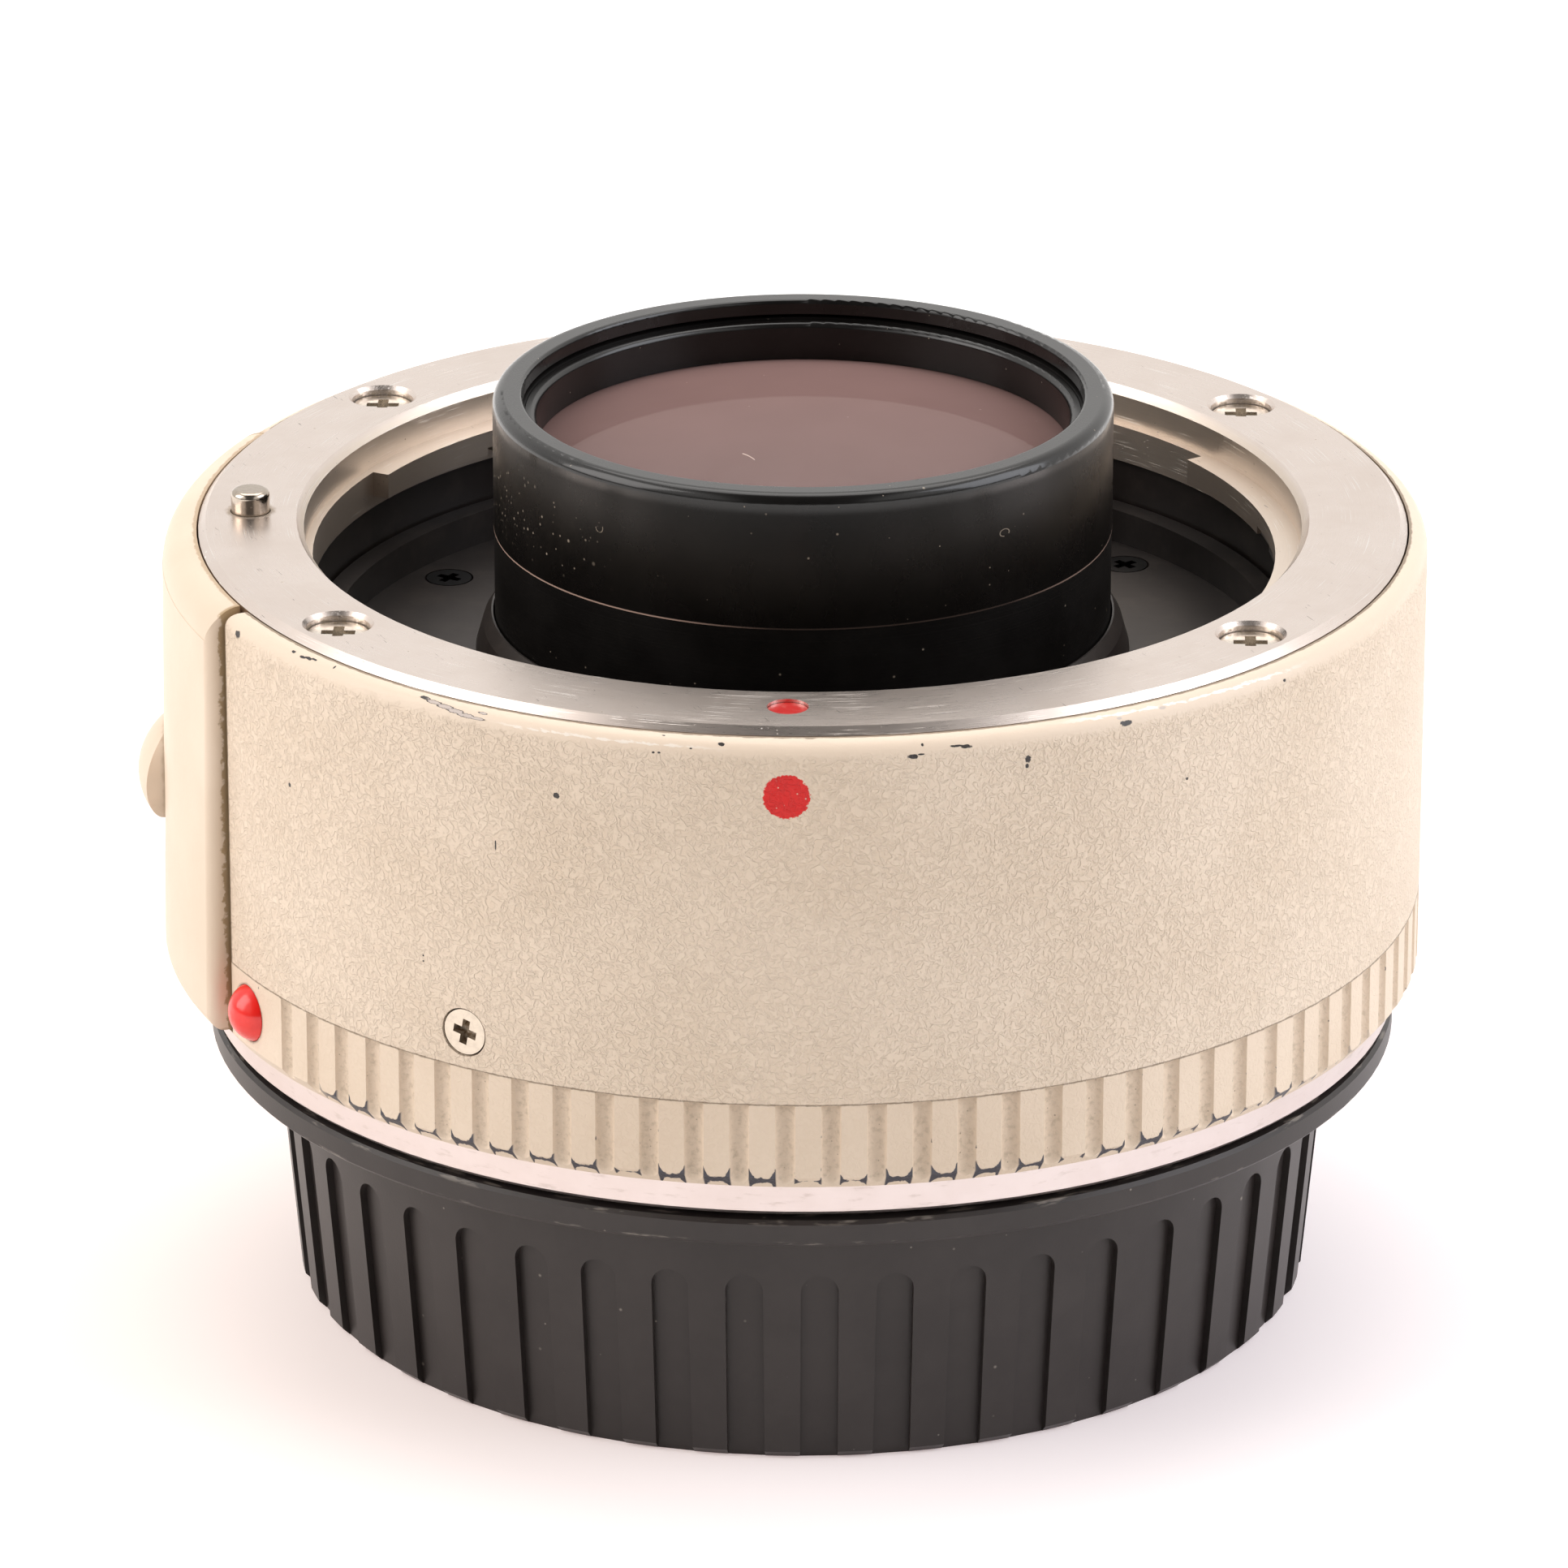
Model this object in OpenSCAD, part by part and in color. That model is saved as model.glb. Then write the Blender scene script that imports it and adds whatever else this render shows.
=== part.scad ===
// Camera teleconverter, standing on its rear cap.
// Millimetres. +Z is the optical axis and points out of the front lens.
// The origin is the centre of the cap's end face, on which the converter stands.
// An azimuth is measured from -Y, where the mounting dot is, towards +X.

/* [Mounting faces] */
// Distance between the front and the rear mounting face
flange_dist = 27.3; // [26.3:0.1:32]
// Bore of the front bayonet throat
throat_d = 54; // [53:0.5:60]
// Outer diameter of the male bayonet tube at the rear
rear_tube_d = 50.4; // [49:0.2:51]

/* [Front mount] */
// Radial width of the front flange
flange_w = 5.7; // [5.4:0.1:7]
// Thickness of the front flange
flange_t = 2.2; // [1.9:0.1:2.6]
// Bevel round the outer edge of the flange
flange_bevel = 0.4; // [0.2:0.05:0.6]
// Bevel round the throat's edge, on the radius
throat_bevel = 0.4; // [0.2:0.05:0.6]
// Depth of the bevel round the throat's edge
throat_bevel_h = 0.45; // [0.3:0.05:0.7]
// Width of the ledge in the throat, level with the front tabs
throat_ledge = 0.45; // [0.3:0.05:0.5]
// Depth of the throat tube under the mounting face
throat_depth = 4.1; // [3.9:0.1:4.6]
// Wall of the throat tube
throat_wall = 1.3; // [1:0.1:1.6]
// How far a front tab stands into the throat
tab_in = 1.4; // [1:0.1:1.6]
// Thickness of a front tab
tab_t = 1.4; // [1:0.1:1.6]
// Depth of a front tab's upper face under the mounting face
tab_depth = 2.05; // [1.8:0.05:2.2]
// Angle that one front tab spans
tab_angle = 56; // [50:1:60]
// Azimuth of the end of the first front tab
tab_end_az = 5; // [0:0.5:8]
// Distance of the mount screws from the throat
mount_screw_inset = 3; // [2.8:0.1:3.4]
// Azimuth of the two mount screws near the mounting dot
mount_screw_near_az = 53; // [50:1:60]
// Azimuth of the two mount screws away from the mounting dot
mount_screw_far_az = 127; // [120:1:132]
// Diameter of the mounting dot
dot_d = 2.1; // [1.6:0.1:2.6]
// Depth of the mounting dot's recess
dot_depth = 0.35; // [0.2:0.05:0.6]
// Distance of the mounting dot from the throat
dot_inset = 2.5; // [2:0.1:3]
// Thickness of the leaf springs under the front tabs
leaf_t = 0.3; // [0.2:0.05:0.35]

/* [Shell and grip ring] */
// Radial width of the painted rim round the flange
rim_w = 1.1; // [0.9:0.1:2]
// Round of the shell's upper corners beside the release cover
shell_corner = 0.9; // [0.4:0.1:1.2]
// Height by which the flange stands above the rim
rim_drop = 0.4; // [0.2:0.05:0.8]
// Wall of the outer shell
shell_t = 1.5; // [1.2:0.1:1.7]
// Height of the grip ring
ring_h = 4.85; // [4:0.1:6]
// Wall of the grip ring
ring_t = 1.9; // [1.6:0.1:2]
// Number of grip grooves that would go round the whole ring
groove_n = 89; // [60:1:100]
// Width of a grip groove
groove_w = 1.05; // [0.6:0.05:1.2]
// Depth of a grip groove
groove_d = 0.36; // [0.2:0.02:0.5]
// Height of the bevel under the grip ring
ring_bevel_h = 0.75; // [0.4:0.05:1]
// Depth of the bevel under the grip ring
ring_bevel_d = 0.6; // [0.3:0.05:0.65]
// Azimuth of the first of the three shell screws
shell_screw_az = -30; // [-34:0.1:-24]
// Height of the shell screws above the seam
shell_screw_h = 2; // [1.8:0.1:3]
// Diameter of the index dome
dome_d = 3.1; // [2:0.1:3.4]
// Height of the index dome above the grip ring
dome_h = 1.05; // [0.5:0.05:1.2]
// Azimuth of the index dome
dome_az = -59.6; // [-60:0.1:-58]

/* [Release cover and lever] */
// Azimuth of the lock pin and of the middle of the cover
lock_az = -88.4; // [-90:0.2:-87]
// Angle that the cover spans
cover_angle = 50.4; // [46:0.2:51]
// Height of the cover above the shell
cover_rise = 0.85; // [0.4:0.05:1.1]
// Flare of the cover at its lower end
cover_flare = 0.3; // [0:0.05:0.5]
// Gap between the cover and its neighbours
cover_gap = 0.3; // [0.2:0.05:0.5]
// Round of the cover's upright edges
cover_round = 0.7; // [0.3:0.1:1]
// Width of the lever knob round the body
knob_w = 7; // [6.5:0.5:9]
// Height of the lever knob
knob_h = 5; // [4.6:0.1:6]
// Height of the lever knob above the cover
knob_rise = 1.45; // [1.1:0.05:1.8]
// Depth of the pocket in the cover in which the knob slides
knob_sink = 0.8; // [0.7:0.05:1]
// Height of the middle of the knob above the seam
knob_z = 5.7; // [5:0.1:6.5]
// Radius of the lever knob's bow round the body
knob_bow = 10; // [8:0.5:14]
// Travel of the release lever and the lock pin
lever_travel = 1.8; // [1.6:0.1:2]
// Width of the lever's stem
stem_w = 6; // [4:0.5:7]
// Height of the lever's stem
stem_h = 2; // [1.6:0.1:2.4]
// Diameter of the lock pin
pin_d = 2.1; // [1.8:0.1:2.3]
// Height of the lock pin above the flange
pin_rise = 1.25; // [1:0.05:1.6]
// Distance of the lock pin from the throat
pin_inset = 2.9; // [2.7:0.05:3]
// Diameter of the lock pin's tail
pin_tail_d = 1.5; // [1.2:0.1:1.6]
// Wire of the lock spring
spring_wire = 0.4; // [0.3:0.05:0.45]
// Number of coils in the lock spring
spring_coils = 6; // [4:1:6]

/* [Throat floor] */
// Depth of the throat floor under the mounting face
floor_depth = 8.5; // [8:0.1:9.2]
// Thickness of the throat floor
floor_t = 1; // [0.8:0.1:1.4]
// Height of the ledge round the floor
ledge_h = 1.9; // [1:0.1:2.3]
// Width of the ledge
ledge_w = 1.2; // [0.8:0.1:1.4]
// Height of the collar round the barrel
collar_h = 3; // [2.4:0.1:3.2]
// Height of the collar's sloping top
collar_slope_h = 0.7; // [0.4:0.1:1]
// Wall of the collar under its sloping top
collar_t = 0.55; // [0.4:0.05:0.8]
// Height of the collar's upright foot
collar_foot_h = 0.9; // [0.4:0.1:1.2]
// Width that the collar gains towards its foot
collar_foot_w = 0.4; // [0.2:0.05:0.8]
// Distance of the floor screws from the axis
floor_screw_r = 23.3; // [23:0.1:23.4]
// Azimuth of the floor screw on the release's side
floor_screw_left_az = -121; // [-126:1:-116]
// Azimuth of the floor screw on the other side
floor_screw_right_az = 131; // [126:1:136]

/* [Frame] */
// Wall of the frame
frame_wall = 1.3; // [1:0.1:1.5]
// Thickness of the plate that carries the barrel
web_t = 1.2; // [1:0.1:2]
// Height of the posts under the throat floor
floor_post_h = 2.2; // [2.1:0.1:2.8]

/* [Barrel and hood] */
// Outer diameter of the front hood
hood_d = 33.5; // [33:0.1:34]
// Height of the hood's rim above the mounting face
hood_rise = 6.9; // [6.5:0.1:8]
// Height of the hood
hood_h = 7.5; // [7.2:0.1:8.5]
// Wall of the hood round the barrel's neck
hood_wall = 0.9; // [0.7:0.05:1.1]
// How far the opening of the hood's rim is outside the lens's edge
hood_rim_gap = 0.15; // [0.05:0.05:0.3]
// Round of the hood's rim
hood_round = 0.6; // [0.2:0.1:0.7]
// Wall of the barrel's threaded neck
neck_t = 0.8; // [0.6:0.05:0.85]
// Diameter of the rear part of the barrel
barrel_rear_d = 28; // [27:0.2:30]
// Thickness of the flange that carries the barrel
barrel_flange_t = 1.2; // [1:0.1:1.3]

/* [Lenses] */
// Edge thickness of the front lens
front_lens_t = 1.6; // [1.2:0.1:2]
// Depth of the front lens's edge under the hood's rim
front_lens_depth = 3.3; // [3:0.1:3.6]
// Surface radius of the front lens
front_lens_r = 90; // [70:5:200]
// Width of the front lens's seat in front of the cemented pair
front_seat_w = 1.6; // [1.4:0.05:2]
// Edge thickness of the front lens of the cemented pair
pair_front_t = 0.8; // [0.6:0.1:1.2]
// Edge thickness of the rear lens of the cemented pair
pair_rear_t = 5.2; // [5:0.1:5.6]
// Surface radius of the cemented face
cement_r = 35; // [33:1:50]
// Diameter of the two rear lenses
rear_lens_d = 23.2; // [22:0.1:23.6]
// Edge thickness of the inner lens
inner_lens_t = 1.5; // [1.2:0.1:2]
// Edge thickness of the rear lens
rear_lens_t = 3.4; // [3:0.1:3.6]
// Wall of the spacer rings
spacer_t = 0.8; // [0.5:0.1:1]

/* [Rear mount] */
// Thickness of the rear flange, the bright band under the grip ring
rear_flange_t = 1.95; // [1.8:0.05:2.4]
// Distance of the rear flange's edge inside the grip ring
rear_flange_inset = 1.3; // [1.1:0.05:1.5]
// Length of the male bayonet tube
rear_tube_h = 5; // [4.6:0.1:5.4]
// Wall of the male bayonet tube
rear_tube_wall = 2.6; // [2.2:0.1:2.8]
// How far a rear tab stands out of the tube
rear_tab_out = 1.2; // [1:0.1:1.3]
// Angle that one rear tab spans
rear_tab_angle = 29; // [20:1:34]
// Thickness of a rear tab
rear_tab_t = 1.3; // [1:0.1:1.5]
// Distance from the rear mounting face to a rear tab
rear_tab_gap = 2.3; // [2.2:0.1:2.6]
// Thickness of the rear light mask
mask_t = 0.95; // [0.7:0.05:1.1]
// Width of the mask's window
window_w = 22; // [18:0.5:23]
// Height of the mask's window
window_h = 18; // [14:0.5:20]

/* [Contacts] */
// Number of front contact pins
contact_n = 9; // [7:1:10]
// Pitch of the front contact pins in degrees
contact_pitch = 6; // [5:0.5:6]
// Diameter of a contact pin
contact_d = 1.5; // [1.2:0.1:1.7]
// Height of the contact pins above their block when they are pressed
contact_proud = 0.2; // [0.1:0.05:0.4]
// Travel of the contact pins
contact_travel = 0.7; // [0.4:0.05:0.75]
// Height of the contact block above the throat floor
contact_block_h = 4.3; // [3:0.1:4.4]
// Radial width of the contact block
contact_block_w = 3.3; // [3:0.1:3.4]
// Number of rear contact pads
pad_n = 10; // [8:1:11]
// Radial width of the rear contact block
rear_block_w = 2.7; // [2.2:0.1:2.8]
// Height of the rear contact block
rear_block_h = 5; // [4.4:0.1:5.4]
// Thickness of the circuit board
board_t = 1; // [0.6:0.1:1.6]

/* [Rear cap] */
// Height of the cap
cap_h = 15.85; // [15.2:0.05:18]
// Gap between the cap's rim and the rear mounting face
cap_gap = 0.35; // [0.2:0.05:0.5]
// Distance of the cap's rim inside the rear flange
cap_rim_inset = 0; // [0:0.05:0.6]
// Height of the cap's rim
cap_rim_h = 1.45; // [1.2:0.05:2]
// Wall of the cap behind the bayonet
cap_wall = 1.75; // [1.4:0.05:1.9]
// Taper of the cap's side from the rim down to the end face
cap_taper = 1.25; // [0.6:0.05:1.4]
// Thickness of the cap's end
cap_end_t = 1.6; // [1.2:0.1:2.4]
// Number of flutes round the cap
flute_n = 45; // [30:1:48]
// Width of a flute
flute_w = 2; // [1.2:0.1:2.2]
// Depth of a flute
flute_d = 0.45; // [0.2:0.05:0.5]
// Height of the flutes' round ends
flute_h = 11.15; // [9:0.05:11.4]
// Thickness of the cap's bayonet lugs
lug_t = 1.35; // [1:0.05:1.5]

/* [Fasteners] */
// Shank of the mount screws
mount_screw_d = 1.7; // [1.4:0.1:1.8]
// Head of the mount screws
mount_head_d = 3.2; // [2.8:0.1:3.4]
// Shank of the small screws
small_screw_d = 1.4; // [1:0.1:1.5]
// Head of the small screws
small_head_d = 2.5; // [2.2:0.1:2.6]

/* [Fits] */
// Running fit on the radius of a pin or a stem that slides
slide_fit = 0.05; // [0.03:0.01:0.08]
// Fit on the radius of a piece that is screwed or glued in
seat_fit = 0.03; // [0.02:0.01:0.05]
// Gap between neighbouring pieces that only pass each other
free_gap = 0.3; // [0.2:0.05:0.35]
// Narrow gap at a seam
seam_gap = 0.1; // [0.05:0.01:0.15]

/* [Hidden] */
$fn = 96;
lens_fn = 400;
over = 1;

// Cross recess, as shares of its screw head
cross_arm = 0.56;
cross_slot = 0.18;
cross_depth = 0.6;

// Colours
cream = [0.86, 0.80, 0.71];
steel = [0.80, 0.78, 0.75];
black = [0.11, 0.10, 0.10];
grey = [0.33, 0.32, 0.31];
glass = [0.55, 0.44, 0.46, 0.6];
red = [0.86, 0.16, 0.14];
brass = [0.80, 0.66, 0.36];
green = [0.13, 0.35, 0.22];

// Heights
z_rear = cap_h + cap_gap;
z_front = z_rear + flange_dist;
z_ring = z_rear + rear_flange_t;
z_seam = z_ring + ring_h;
z_rim = z_front - rim_drop;
z_floor = z_front - floor_depth;
z_ledge = z_floor + ledge_h;
z_web = z_floor - floor_t - floor_post_h;
z_hood = z_front + hood_rise;
z_neck = z_hood - hood_h;
z_throat = z_front - throat_depth;
z_knob = z_seam + knob_z;
z_cover = z_ring + ring_bevel_h + seam_gap;

// Radii
throat_r = throat_d / 2;
flange_r = throat_r + flange_w;
rim_r = flange_r + seam_gap;
body_r = flange_r + rim_w;
shell_in = body_r - shell_t;
cover_r = body_r + cover_rise;
ring_in = body_r - ring_t;
frame_r = throat_r + throat_wall - seam_gap;
frame_in = frame_r - frame_wall;
ledge_r = frame_in - 2 * seam_gap;
floor_r = ledge_r - ledge_w;
hood_r = hood_d / 2;
barrel_r = hood_r - seat_fit;
rear_tube_r = rear_tube_d / 2;
rear_tab_r = rear_tube_r + rear_tab_out;
rear_bore_r = rear_tube_r - rear_tube_wall;
rear_flange_r = body_r - rear_flange_inset;
pin_r = throat_r + pin_inset;
mount_screw_r = throat_r + mount_screw_inset;
rear_screw_r = (rear_tube_r + rear_flange_r) / 2;

// Places that repeat
tab_places = [for (i = [0:2]) tab_end_az - tab_angle / 2 + 120 * i];
rear_tab_places = [for (i = [0:2]) tab_end_az - rear_tab_angle / 2 + 120 * i];
mount_screw_places = [-mount_screw_near_az, mount_screw_near_az, -mount_screw_far_az, mount_screw_far_az];
floor_screw_places = [floor_screw_left_az, floor_screw_right_az,
                      (floor_screw_left_az + floor_screw_right_az) / 2];
shell_screw_places = [for (i = [0:2]) shell_screw_az + 120 * i];
rear_screw_places = [45, 135, 225, 315];
barrel_screw_places = [30, 150, 270];
contact_az = 180;

// Helpers

// Turns a piece that points along +X to an azimuth
module at(az) {
  rotate([0, 0, az - 90]) children();
}

// Plain ring about the axis
module ring(r_in, r_out, z0, z1) {
  translate([0, 0, z0])
    difference() {
      cylinder(r = r_out, h = z1 - z0);
      translate([0, 0, -over]) cylinder(r = r_in, h = z1 - z0 + 2 * over);
    }
}

// Part of a ring, its middle on +X
module arc(r_in, r_out, z0, z1, angle) {
  rotate([0, 0, -angle / 2])
    rotate_extrude(angle = angle)
      translate([r_in, z0]) square([r_out - r_in, z1 - z0]);
}

// What is left of a square corner outside its round, the corner at the origin
module corner(round) {
  translate([-round, -round])
    difference() {
      square(round + over);
      circle(round);
    }
}

// Cross recess in a screw head, open upwards
module cross_recess(head_d, depth) {
  arm = head_d * cross_arm;
  slot = head_d * cross_slot;
  for (turn = [0, 90])
    rotate([0, 0, turn])
      translate([-arm / 2, -slot / 2, -depth]) cube([arm, slot, depth + over]);
}

// Pan head screw, the top of its head at the origin, pointing down, its cross turned by an angle
module screw(shank_d, length, head_d, head_h, turn = 0) {
  difference() {
    union() {
      translate([0, 0, -head_h]) cylinder(d = head_d, h = head_h);
      translate([0, 0, -head_h - length]) cylinder(d = shank_d, h = length + head_h / 2);
    }
    rotate([0, 0, turn]) cross_recess(head_d, head_h * cross_depth);
  }
}

// Room for a screw, with a counterbore that is open upwards
module screw_hole(shank_d, length, head_d, head_h) {
  translate([0, 0, -head_h]) cylinder(r = head_d / 2 + seam_gap, h = head_h + over);
  translate([0, 0, -head_h - length - seam_gap])
    cylinder(r = shank_d / 2 + seat_fit, h = length + head_h);
}

// Height of a ball surface over its edge circle
function sag(ball_r, edge_r) = ball_r - sqrt(ball_r * ball_r - edge_r * edge_r);

// Lens between two edge heights; a positive ball radius bulges outwards, a negative one is hollow
module lens(r, z0, z1, top_r, bottom_r) {
  $fn = lens_fn;
  top = top_r > 0 ? sag(top_r, r) : 0;
  bottom = bottom_r > 0 ? sag(bottom_r, r) : 0;
  difference() {
    intersection() {
      translate([0, 0, z0 - bottom]) cylinder(r = r, h = z1 + top - z0 + bottom);
      if (top_r > 0) translate([0, 0, z1 + top - top_r]) sphere(top_r);
      if (bottom_r > 0) translate([0, 0, z0 - bottom + bottom_r]) sphere(bottom_r);
    }
    if (top_r < 0) translate([0, 0, z1 - sag(-top_r, r) - top_r]) sphere(-top_r);
    if (bottom_r < 0) translate([0, 0, z0 + sag(-bottom_r, r) + bottom_r]) sphere(-bottom_r);
  }
}

// Wire coil about the Z axis, from z0 up to z1
module coil(coil_r, wire_d, z0, z1, turns) {
  rings_per_turn = 12;
  sides = 6;
  rings = turns * rings_per_turn;
  rise = (z1 - z0 - wire_d) / rings;
  points = [
    for (i = [0:rings], k = [0:sides - 1])
      let (turn = 360 * i / rings_per_turn, side = 360 * k / sides)
        [(coil_r + wire_d / 2 * cos(side)) * cos(turn),
         (coil_r + wire_d / 2 * cos(side)) * sin(turn),
         z0 + wire_d / 2 + rise * i + wire_d / 2 * sin(side)]
  ];
  last = rings * sides;
  skin = [
    for (i = [0:rings - 1], k = [0:sides - 1], half = [0, 1])
      let (next = (k + 1) % sides, low = i * sides, high = low + sides)
        half == 0 ? [low + k, high + k, high + next] : [low + k, high + next, low + next]
  ];
  first_end = [for (k = [1:sides - 2]) [0, k, k + 1]];
  last_end = [for (k = [1:sides - 2]) [last, last + k + 1, last + k]];
  polyhedron(points, concat(skin, first_end, last_end));
}

// Shell

shell_screw_z = z_seam + shell_screw_h;
shell_head_h = shell_t * 0.6;
shell_screw_l = 1.9;
shell_screw_turn = -11;
ear_t = 1.2;
ear_angle = 22;
ear_over = 2;
ear_h = shell_screw_h + ear_over;
ear_r = shell_in - seam_gap;

// Turns a screw that points down so that it points to the axis
module shell_screw_place(az, depth) {
  at(az) translate([body_r - depth, 0, shell_screw_z]) rotate([0, 90, 0]) children();
}

module outer_shell() {
  color(cream)
    difference() {
      rotate_extrude()
        difference() {
          translate([shell_in, z_seam]) square([shell_t, z_rim - z_seam]);
          translate([shell_in - over, z_front - flange_t - seam_gap])
            square([rim_r - shell_in + over, flange_t + over]);
          translate([body_r, z_rim]) corner(rim_w - seam_gap);
        }
      at(lock_az)
        arc(shell_in - over, body_r + over, z_seam - over, z_rim + over, cover_angle);
      for (side = [0, 1])
        at(lock_az)
          mirror([0, side, 0])
            rotate([0, 0, cover_angle / 2])
              translate([shell_in - over, 0, z_rim])
                rotate([90, 0, 90])
                  linear_extrude(shell_t + 2 * over) mirror([1, 0]) corner(shell_corner);
      for (az = shell_screw_places)
        shell_screw_place(az, seam_gap)
          screw_hole(small_screw_d, shell_screw_l, small_head_d, shell_head_h);
    }
}

module shell_screws() {
  color(steel)
    for (az = shell_screw_places)
      shell_screw_place(az, seam_gap)
        screw(small_screw_d, shell_screw_l, small_head_d, shell_head_h, shell_screw_turn);
}

// Grip ring

// Radius of a round cutter that leaves a groove of the given width and depth
groove_r = (groove_w * groove_w / 4 + groove_d * groove_d) / (2 * groove_d);
groove_pitch = 360 / groove_n;
groove_plain = 6.6;
groove_first = ceil((dome_az + groove_plain) / groove_pitch);
groove_last = floor((lock_az + 360 - cover_angle / 2 - groove_plain) / groove_pitch);
dome_rise = 2.7;
dome_z = z_ring + dome_rise;
dome_seat = 0.3;
dome_stem_d = 1.4;
dome_stem_l = 0.9;

module grip_ring() {
  color(cream)
    difference() {
      union() {
        rotate_extrude()
          polygon([[ring_in, z_ring], [body_r - ring_bevel_d, z_ring], [body_r, z_ring + ring_bevel_h],
                   [body_r, z_seam], [ring_in, z_seam]]);
        for (az = shell_screw_places)
          at(az) arc(ear_r - ear_t, ear_r, z_seam - over, z_seam + ear_h, ear_angle);
      }
      for (i = [groove_first:groove_last])
        at(i * groove_pitch)
          translate([body_r - groove_d + groove_r, 0, z_ring - over])
            cylinder(r = groove_r, h = ring_h + 2 * over);
      at(lock_az)
        arc(ring_in - over, body_r + over, z_ring + ring_bevel_h, z_seam + over, cover_angle);
      for (az = shell_screw_places)
        shell_screw_place(az, seam_gap)
          screw_hole(small_screw_d, shell_screw_l, small_head_d, shell_head_h);
      at(dome_az)
        translate([body_r, 0, dome_z])
          rotate([0, 90, 0]) {
            translate([0, 0, -dome_seat]) cylinder(r = dome_d / 2 + seat_fit, h = over);
            translate([0, 0, -dome_seat - dome_stem_l - seam_gap])
              cylinder(r = dome_stem_d / 2 + seat_fit, h = dome_stem_l + over);
          }
    }
}

module index_dome() {
  ball_r = (dome_d * dome_d / 4 + dome_h * dome_h) / (2 * dome_h);
  color(red)
    at(dome_az)
      translate([body_r, 0, dome_z])
        rotate([0, 90, 0])
          union() {
            intersection() {
              translate([0, 0, -dome_seat]) cylinder(d = dome_d, h = dome_seat + dome_h);
              translate([0, 0, dome_h - ball_r]) sphere(ball_r);
            }
            translate([0, 0, -dome_seat]) cylinder(d = dome_d - 2 * seam_gap, h = dome_seat);
            translate([0, 0, -dome_seat - dome_stem_l])
              cylinder(d = dome_stem_d, h = dome_stem_l + dome_seat);
          }
}

// Release cover and lever

cover_top_round = cover_r - rim_r;
cover_foot_round = 0.9;
cover_foot_r = cover_r + cover_flare;
cover_tilt = atan(cover_flare / (z_rim - z_cover));
slot_low = z_knob - stem_h / 2 - lever_travel - free_gap;
slot_high = z_knob + stem_h / 2 + free_gap;
pocket_floor = cover_r - knob_sink;
lip_t = 0.5;
lip_w = 2.5;

// Radius of the cover's flared face at a height
function cover_at(z) = cover_r + cover_flare * (z_rim - z) / (z_rim - z_cover);

module cover_profile() {
  difference() {
    polygon([[shell_in, z_cover], [cover_foot_r, z_cover], [cover_r, z_rim], [shell_in, z_rim]]);
    translate([shell_in - over, z_front - flange_t - seam_gap])
      square([rim_r - shell_in + over, flange_t + over]);
    translate([cover_r, z_rim]) corner(cover_top_round);
    translate([cover_foot_r, z_cover]) mirror([0, 1]) corner(cover_foot_round);
  }
}

// Pill-shaped outline of the knob with some room round it
module knob_outline(room = 0) {
  square([knob_w - knob_h, knob_h + 2 * room], center = true);
  for (side = [-1, 1])
    translate([side * (knob_w - knob_h) / 2, 0]) circle(d = knob_h + 2 * room);
}

// Outline of the pocket, in which the knob has room for its travel
module pocket_outline() {
  for (drop = [0, lever_travel])
    translate([0, -drop]) knob_outline(free_gap);
  translate([0, -lever_travel / 2])
    square([knob_w + 2 * free_gap, lever_travel], center = true);
}

// Panel over the lever, with round upright edges, a pocket, and lips that reach behind the shell
module release_cover() {
  gap_angle = 2 * asin(cover_gap / body_r);
  panel_angle = cover_angle - gap_angle;
  lip_r = shell_in - seam_gap;
  lip_low = z_seam + seam_gap;
  lip_high = z_front - flange_t - free_gap;
  color(cream)
    at(lock_az)
      difference() {
        union() {
          rotate([0, 0, -panel_angle / 2]) rotate_extrude(angle = panel_angle) cover_profile();
          arc(lip_r - lip_t, lip_r, lip_low, lip_high, cover_angle + 2 * asin(lip_w / lip_r));
          arc(lip_r - lip_t, shell_in + lip_t, lip_low, lip_high, panel_angle - gap_angle);
        }
        for (side = [0, 1])
          mirror([0, side, 0])
            rotate([0, 0, panel_angle / 2])
              translate([cover_foot_r, 0, z_cover])
                rotate([0, -cover_tilt, 0])
                  translate([0, 0, -over])
                    linear_extrude(z_rim - z_cover + 2 * over) corner(cover_round);
        translate([pocket_floor, 0, z_knob])
          rotate([90, 0, 90])
            linear_extrude(knob_sink + knob_rise) pocket_outline();
        translate([shell_in - over - ear_t, -stem_w / 2 - free_gap, slot_low])
          cube([cover_foot_r, stem_w + 2 * free_gap, slot_high - slot_low]);
      }
}

knob_out = cover_at(z_knob) + knob_rise;
knob_ball = (knob_h * knob_h / 4 + knob_rise * knob_rise) / (2 * knob_rise);
carriage_in = frame_r + free_gap;
carriage_out = shell_in - lip_t - seam_gap - free_gap;
carriage_w = 10;
carriage_wall = 0.6;
carriage_low = z_knob - stem_h / 2 - carriage_wall;
carriage_high = z_knob + stem_h / 2 + carriage_wall;
stem_in = pin_r + pin_tail_d / 2 + 2 * seam_gap;

// Bowed knob, whose foot is in the cover's pocket, on a flat stem
module release_lever() {
  color(cream)
    at(lock_az)
      union() {
        intersection() {
          translate([knob_out - knob_bow, 0, z_knob])
            rotate_extrude()
              intersection() {
                translate([knob_bow - knob_ball, 0]) circle(knob_ball);
                translate([0, -knob_h]) square([knob_bow, 2 * knob_h]);
              }
          translate([pocket_floor + free_gap, 0, z_knob])
            rotate([90, 0, 90])
              linear_extrude(knob_out - pocket_floor) knob_outline();
        }
        translate([stem_in, -stem_w / 2, z_knob - stem_h / 2])
          cube([(cover_r + knob_out) / 2 - stem_in, stem_w, stem_h]);
      }
}

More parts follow.
